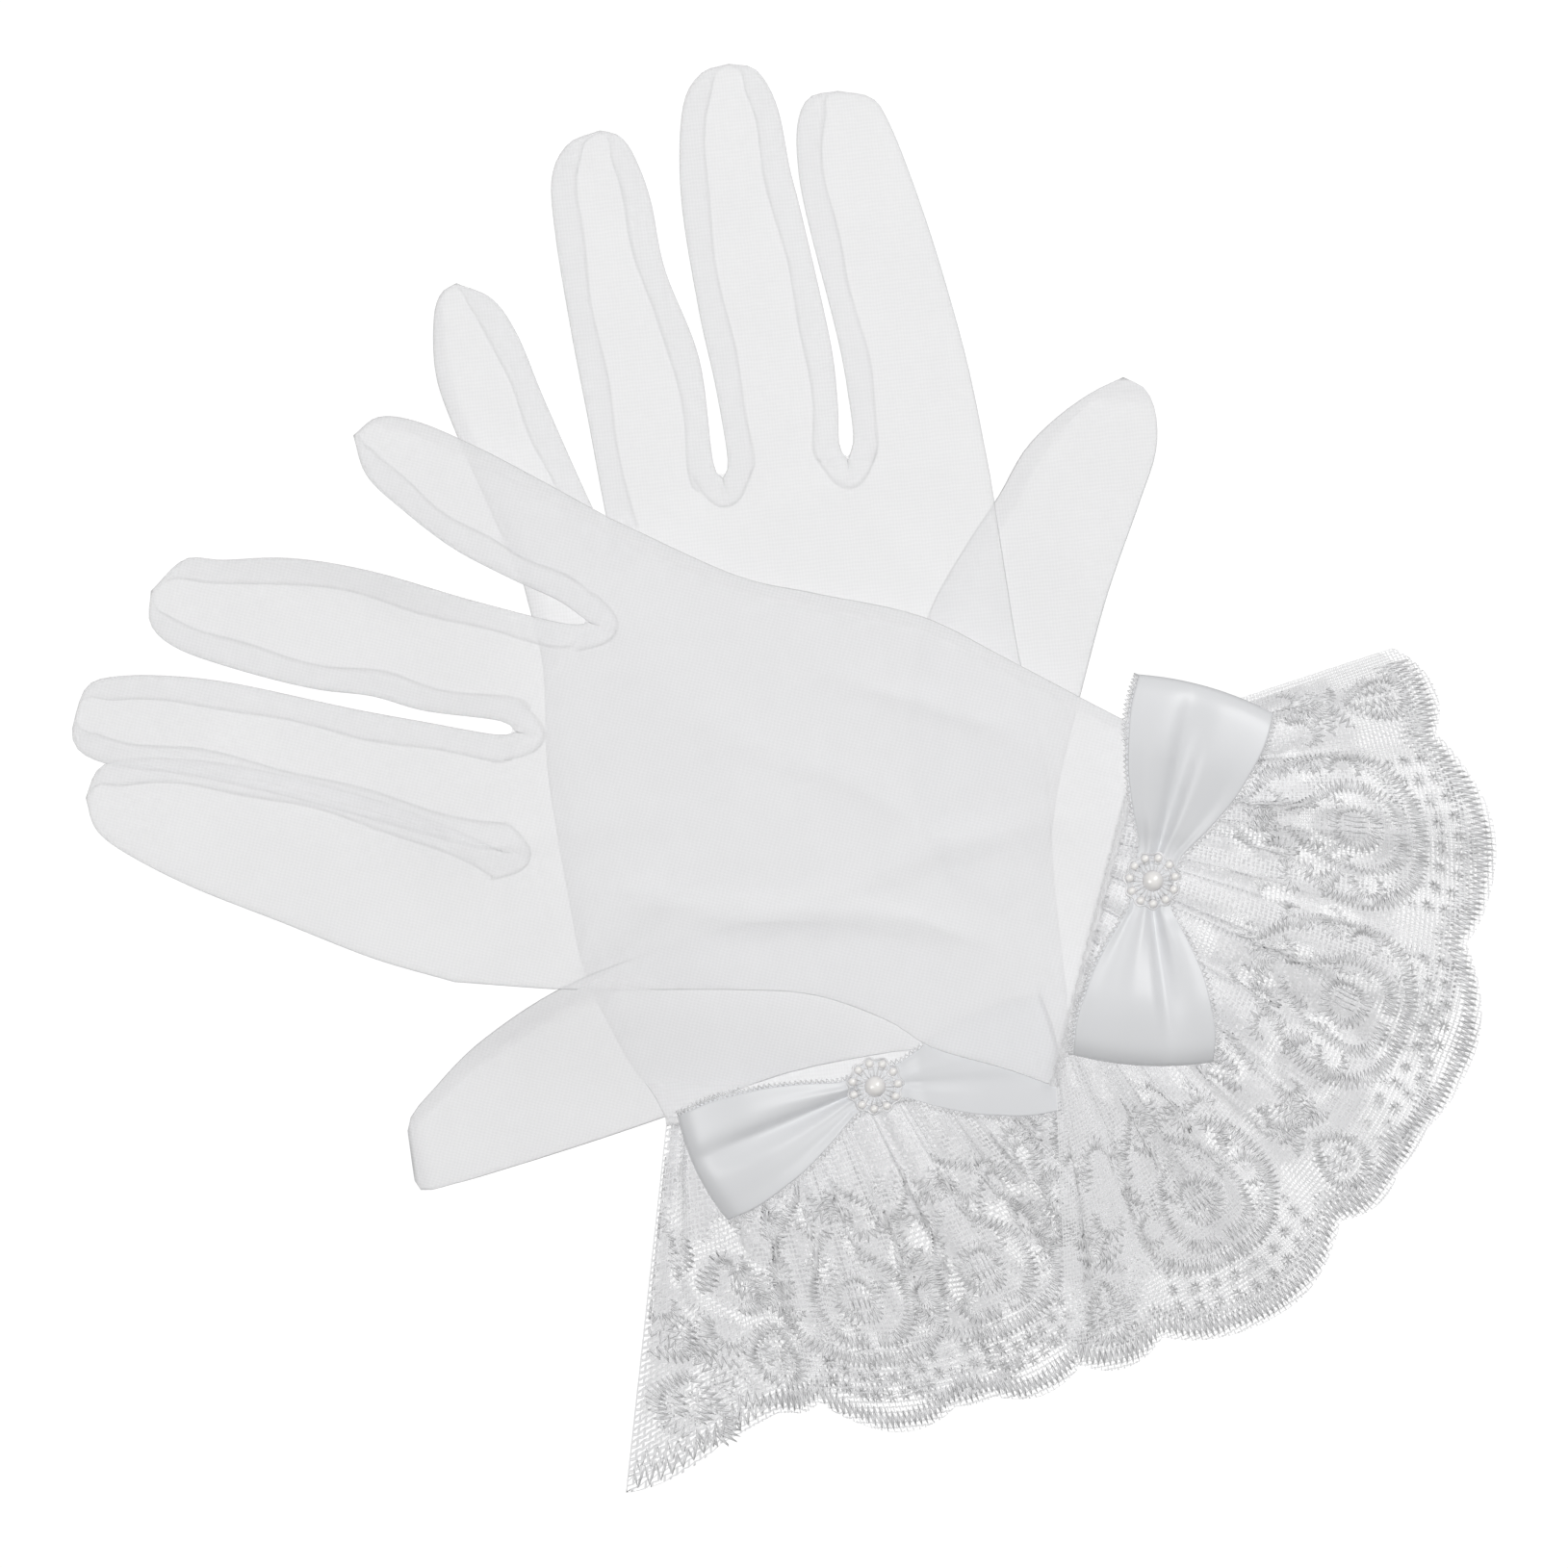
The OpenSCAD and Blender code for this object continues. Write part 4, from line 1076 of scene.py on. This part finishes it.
def build_bow_loop(glove, side):
    """One ribbon loop: pleated in the wrap, wide and rounded at its end, with picot edges."""
    bow = Bow(glove)
    end, crease_at, seed = LOOP_SETTINGS[side]
    node_name = f"{glove.side}_bow_{end}_loop"
    low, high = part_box(node_name)
    length = bow.length[0 if side < 0 else 1]
    h = (high.z - low.z) / MM
    flat_loop = h < 3  # the glove above presses it flat
    profile = Curve([(0.6, 0.5), (6, 0.45), (length * 0.5, 0.4), (length - h * 0.5, h * 0.12),
                     (length - h * 0.1, h * 0.35), (length, h * 0.52), (length - h * 0.1, h * 0.67),
                     (length - h * 0.5, h * 0.86), (length * 0.7, h * 0.97), (length * 0.55, h * 0.9),
                     (length * 0.3, mix(2.6, h, 0.45)), (6, mix(2.6, h, 0.12) if not flat_loop else h),
                     (0.6, min(2.55, h))])
    widths = Curve([(0, 0.3), (0.14, 0.3), (0.22, 0.4), (0.34, 0.58), (0.5, 0.78), (0.62, 0.88),
                    (0.82, 1.0), (1.05, 1.0)])

    def shape(v, b):
        """Distance along the loop, across it, and height, at share v of the half width."""
        line = profile(b)
        s = np.clip(line[:, 0] / length, 0, 1)
        half = bow.width / 2 * np.interp(s, widths.points[:, 0], widths.points[:, 1])
        top = smooth((b - 0.45) / 0.1)
        near = (1 - s) ** 1.3
        pleats = 0.4 * near * np.cos(v * 8 + seed) + 0.12 * near * np.cos(v * 17 + 2 * seed)
        off = v - crease_at * (0.4 + s)
        valley = -1.9 * np.exp(-(off / np.where(off < 0, 0.3, 0.16)) ** 2) \
            * mix(0.4, 1, smooth(s / 0.3)) * (1 - 0.75 * smooth((s - 0.6) / 0.4))
        belly = 0.7 * (1 - v**2) * smooth((s - 0.3) / 0.5)
        scale = 0.12 if flat_loop else 1
        z = line[:, 1] + top * scale * (pleats + valley + belly)
        near_end = smooth((s - 0.75) / 0.25)
        x = line[:, 0] + 1.3 * near_end * (1 - v**2) - 0.6 * near_end
        return x, v * half, np.maximum(z, 0.2)

    def place(a, b):
        x, y, z = shape(2 * a - 1, b)
        return bow.place(x, y, z, side)

    loop = surface(node_name + "_ribbon", 64, 110, place, material=satin_ribbon())
    solid = loop.modifiers.new("cloth", "SOLIDIFY")
    solid.thickness, solid.offset = 0.18 * MM, 0
    picots = []
    count = int(1.5 * length / (sizes().picot / MM)) * 4
    for edge in (-1, 1):
        b = np.linspace(0.3, 0.97, count)
        x, y, z = shape(np.full(count, float(edge)), b)
        wave = 0.42 * (1 - np.cos(np.arange(count) * math.tau / 4))
        picots.append(bow.place(x, y + edge * wave, z, side))
    trim = thread_piece(f"{node_name}_picots", picots, 0.12 * MM, rayon_thread())
    for made in (loop, trim):
        made.visible_shadow = False  # the lace round a bow is as light as elsewhere
        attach(made, glove.body)
    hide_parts(node_name)
    return loop


def build_bow_wrap(glove):
    """The short band round the middle of the bow, tight over the pleats."""
    bow = Bow(glove)
    low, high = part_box(f"{glove.side}_bow_wrap")
    tall = (high.z - low.z) / MM
    turn = sum(bow.turn) / 2

    def place(a, b):
        angle = math.tau * a
        x = mix(-3, 3, b) + 0.15 * np.sin(angle * 2)
        flare = 1 + 0.05 * (2 * b - 1) ** 2 + 0.02 * np.cos(b * 21)
        y = -4.2 * np.cos(angle) * flare
        up = np.sin(angle)
        z = tall / 2 + (tall / 2 - 0.15) * np.sign(up) * np.abs(up) ** 0.6 * flare
        return bow.place(x, y, np.clip(z, 0.05, tall + 0.1), 1, turn)

    piece = surface(f"{glove.side}_bow_band", 40, 18, place, closed=True, material=satin_ribbon())
    solid = piece.modifiers.new("cloth", "SOLIDIFY")
    solid.thickness, solid.offset = 0.18 * MM, -1
    piece.visible_shadow = False
    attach(piece, glove.body)
    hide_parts(f"{glove.side}_bow_wrap")


def build_pearls(glove):
    """A pearl in a ring of beads, carried on thread."""
    side = glove.side
    low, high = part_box(side + "_bead_ring")
    bead_r = (high.z - low.z) / 2
    ring_r = (high.x - low.x) / 2 - bead_r
    count = 11
    bm = bmesh.new()
    bmesh.ops.create_uvsphere(bm, u_segments=40, v_segments=20, radius=glove.pearl_radius)
    bmesh.ops.translate(bm, verts=bm.verts, vec=glove.pearl)
    pearl = finished(side + "_centre_pearl", bm, pearl_lacquer())
    bm = bmesh.new()
    centre = Vector((glove.pearl.x, glove.pearl.y, (low.z + high.z) / 2))
    for k in range(count):
        angle = math.tau * k / count + glove.turn
        made = bmesh.ops.create_uvsphere(bm, u_segments=20, v_segments=12, radius=bead_r)
        bmesh.ops.translate(bm, verts=made["verts"], vec=centre + ring_r * Vector(
            (math.cos(angle), math.sin(angle), 0)))
    beads = finished(side + "_seed_beads", bm, pearl_lacquer())
    # thread loops round each bead, and spokes of thread to the pearl
    turn = np.linspace(0, math.tau, count * 12 + 1)
    wobble = np.cos((turn - glove.turn) * count)
    loops = []
    for sign in (-1, 1):
        r = ring_r + sign * bead_r * (0.95 + 0.35 * wobble)
        loops.append(np.stack([centre.x + r * np.cos(turn), centre.y + r * np.sin(turn),
                               centre.z - bead_r * 0.5 + 0 * turn], axis=-1))
    for k in range(count * 2):
        angle = math.tau * (k + 0.5) / (count * 2) + glove.turn
        d = np.array([math.cos(angle), math.sin(angle)])
        inner, outer = glove.pearl_radius * 0.55, ring_r - bead_r * 0.3
        loops.append([(centre.x + d[0] * out, centre.y + d[1] * out, centre.z + lift * MM)
                      for out, lift in ((inner, 0), (mix(inner, outer, 0.5), 0.2), (outer, -0.3))])
    thread = thread_piece(side + "_bead_thread_loops", loops, 0.18 * MM, rayon_thread(), sides=6)
    for made, cad, slot in ((pearl, "pearl", "pearl"), (beads, "bead_ring", "pearl"),
                            (thread, "bead_thread", "embroidery")):
        made.visible_shadow = False  # the satin stays light between the beads
        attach(made, glove.body)
        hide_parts(f"{side}_{cad}")


# ---- stage ----------------------------------------------------------------------------------
VIEW_WIDTH = 290.0  # mm of table across the view
LENS = 100.0  # mm, long enough to look nearly straight down everywhere
AIM = (-0.1, -1.4)  # the place in the middle of the view, in mm


def build_stage():
    """White table, two soft boxes, pale surroundings, and a camera that looks straight down."""
    scene = bpy.context.scene
    scene.view_settings.view_transform = "Standard"
    scene.cycles.transparent_max_bounces = 32
    bm = bmesh.new()
    bmesh.ops.create_grid(bm, x_segments=1, y_segments=1, size=3)
    bmesh.ops.translate(bm, verts=bm.verts, vec=(0, 0, -0.1 * MM))
    floor = finished("table", bm, table_white())
    floor.visible_diffuse = False
    floor.visible_glossy = False
    for name, place, width, power in (("softbox_right", (0.5, 0.5, 0.78), 0.45, 5.8),
                                      ("softbox_left", (-0.6, -0.15, 0.85), 0.4, 3.6)):
        light = bpy.data.lights.new(name, "AREA")
        light.shape, light.size, light.size_y, light.energy = "RECTANGLE", width, width * 1.4, power
        lamp = bpy.data.objects.new(name, light)
        lamp.location = place
        lamp.rotation_euler = (-Vector(place)).to_track_quat("-Z", "Y").to_euler()
        scene.collection.objects.link(lamp)
    world = bpy.data.worlds.new("studio")
    world.use_nodes = True
    world.node_tree.nodes["Background"].inputs["Color"].default_value = (1, 1, 1, 1)
    world.node_tree.nodes["Background"].inputs["Strength"].default_value = 0.32
    scene.world = world
    camera = bpy.data.cameras.new("camera")
    camera.lens = LENS
    eye = bpy.data.objects.new("camera", camera)
    eye.location = (AIM[0] * MM, AIM[1] * MM, VIEW_WIDTH * MM * LENS / camera.sensor_width)
    camera.clip_start, camera.clip_end = 0.01, 20
    scene.collection.objects.link(eye)
    scene.camera = eye


# ---- operators and panel --------------------------------------------------------------------
class GloveStep:
    """A step of the build: each of its functions makes its piece for one glove, then the other."""

    builds = ()

    def execute(self, context):
        for build in self.builds:
            for side in SIDES:
                build(Glove(side))
        return {"FINISHED"}


class GLOVES_OT_hands(GloveStep, bpy.types.Operator):
    """Build the palms"""

    bl_idname = "gloves.hands"
    bl_label = "Hands"
    builds = (build_palm,)


class GLOVES_OT_stalls(GloveStep, bpy.types.Operator):
    """Build the finger stalls"""

    bl_idname = "gloves.stalls"
    bl_label = "Finger stalls"
    builds = [partial(build_stall, finger=finger) for finger in FINGERS]


class GLOVES_OT_fourchettes(GloveStep, bpy.types.Operator):
    """Build the strips between the fingers"""

    bl_idname = "gloves.fourchettes"
    bl_label = "Fourchettes"
    builds = [*(partial(build_fourchettes, finger=finger) for finger in FINGERS),
              build_fourchette_bends]


class GLOVES_OT_thumbs(GloveStep, bpy.types.Operator):
    """Build the thumb pieces"""

    bl_idname = "gloves.thumbs"
    bl_label = "Thumbs"
    builds = (build_thumb,)


class GLOVES_OT_wrists(GloveStep, bpy.types.Operator):
    """Build the seams that gather the lace"""

    bl_idname = "gloves.wrists"
    bl_label = "Wrist bindings"
    builds = (build_wrist_binding,)


class GLOVES_OT_nets(GloveStep, bpy.types.Operator):
    """Build the net of the cuffs, two layers each"""

    bl_idname = "gloves.nets"
    bl_label = "Cuff nets"
    builds = (partial(build_net, layer="front"), partial(build_net, layer="back"), build_net_folds)


class GLOVES_OT_embroidery(GloveStep, bpy.types.Operator):
    """Embroider the cuffs"""

    bl_idname = "gloves.embroidery"
    bl_label = "Embroidery"
    builds = (build_embroidery,)


class GLOVES_OT_bows(GloveStep, bpy.types.Operator):
    """Build the ribbon bows"""

    bl_idname = "gloves.bows"
    bl_label = "Bows"
    builds = (partial(build_bow_loop, side=-1), partial(build_bow_loop, side=1), build_bow_wrap)


class GLOVES_OT_pearls(GloveStep, bpy.types.Operator):
    """Build the pearl clusters"""

    bl_idname = "gloves.pearls"
    bl_label = "Pearls"
    builds = (build_pearls,)


class GLOVES_OT_stage(bpy.types.Operator):
    """Set the table, the lights and the camera"""

    bl_idname = "gloves.stage"
    bl_label = "Stage"

    def execute(self, context):
        build_stage()
        return {"FINISHED"}


STEPS = (GLOVES_OT_hands, GLOVES_OT_stalls, GLOVES_OT_fourchettes, GLOVES_OT_thumbs,
         GLOVES_OT_wrists, GLOVES_OT_nets, GLOVES_OT_embroidery, GLOVES_OT_bows,
         GLOVES_OT_pearls, GLOVES_OT_stage)


class GLOVES_PT_panel(bpy.types.Panel):
    """Lists the steps that build the gloves"""

    bl_label = "Lace wedding gloves"
    bl_space_type = "VIEW_3D"
    bl_region_type = "UI"
    bl_category = "Gloves"

    def draw(self, context):
        for group in (context.scene.glove_sizes, context.scene.glove_colours):
            for name in group.bl_rna.properties.keys():
                if name not in ("name", "rna_type"):
                    self.layout.prop(group, name)
        for step in STEPS:
            self.layout.operator(step.bl_idname)


CLASSES = (GloveSizes, GloveColours, *STEPS, GLOVES_PT_panel)


def register():
    for cls in CLASSES:
        bpy.utils.register_class(cls)
    bpy.types.Scene.glove_sizes = bpy.props.PointerProperty(type=GloveSizes)
    bpy.types.Scene.glove_colours = bpy.props.PointerProperty(type=GloveColours)


def unregister():
    del bpy.types.Scene.glove_colours
    del bpy.types.Scene.glove_sizes
    for cls in reversed(CLASSES):
        bpy.utils.unregister_class(cls)


def main():
    register()
    for step in STEPS:
        group, name = step.bl_idname.split(".")
        getattr(getattr(bpy.ops, group), name)()


if __name__ == "__main__":
    main()
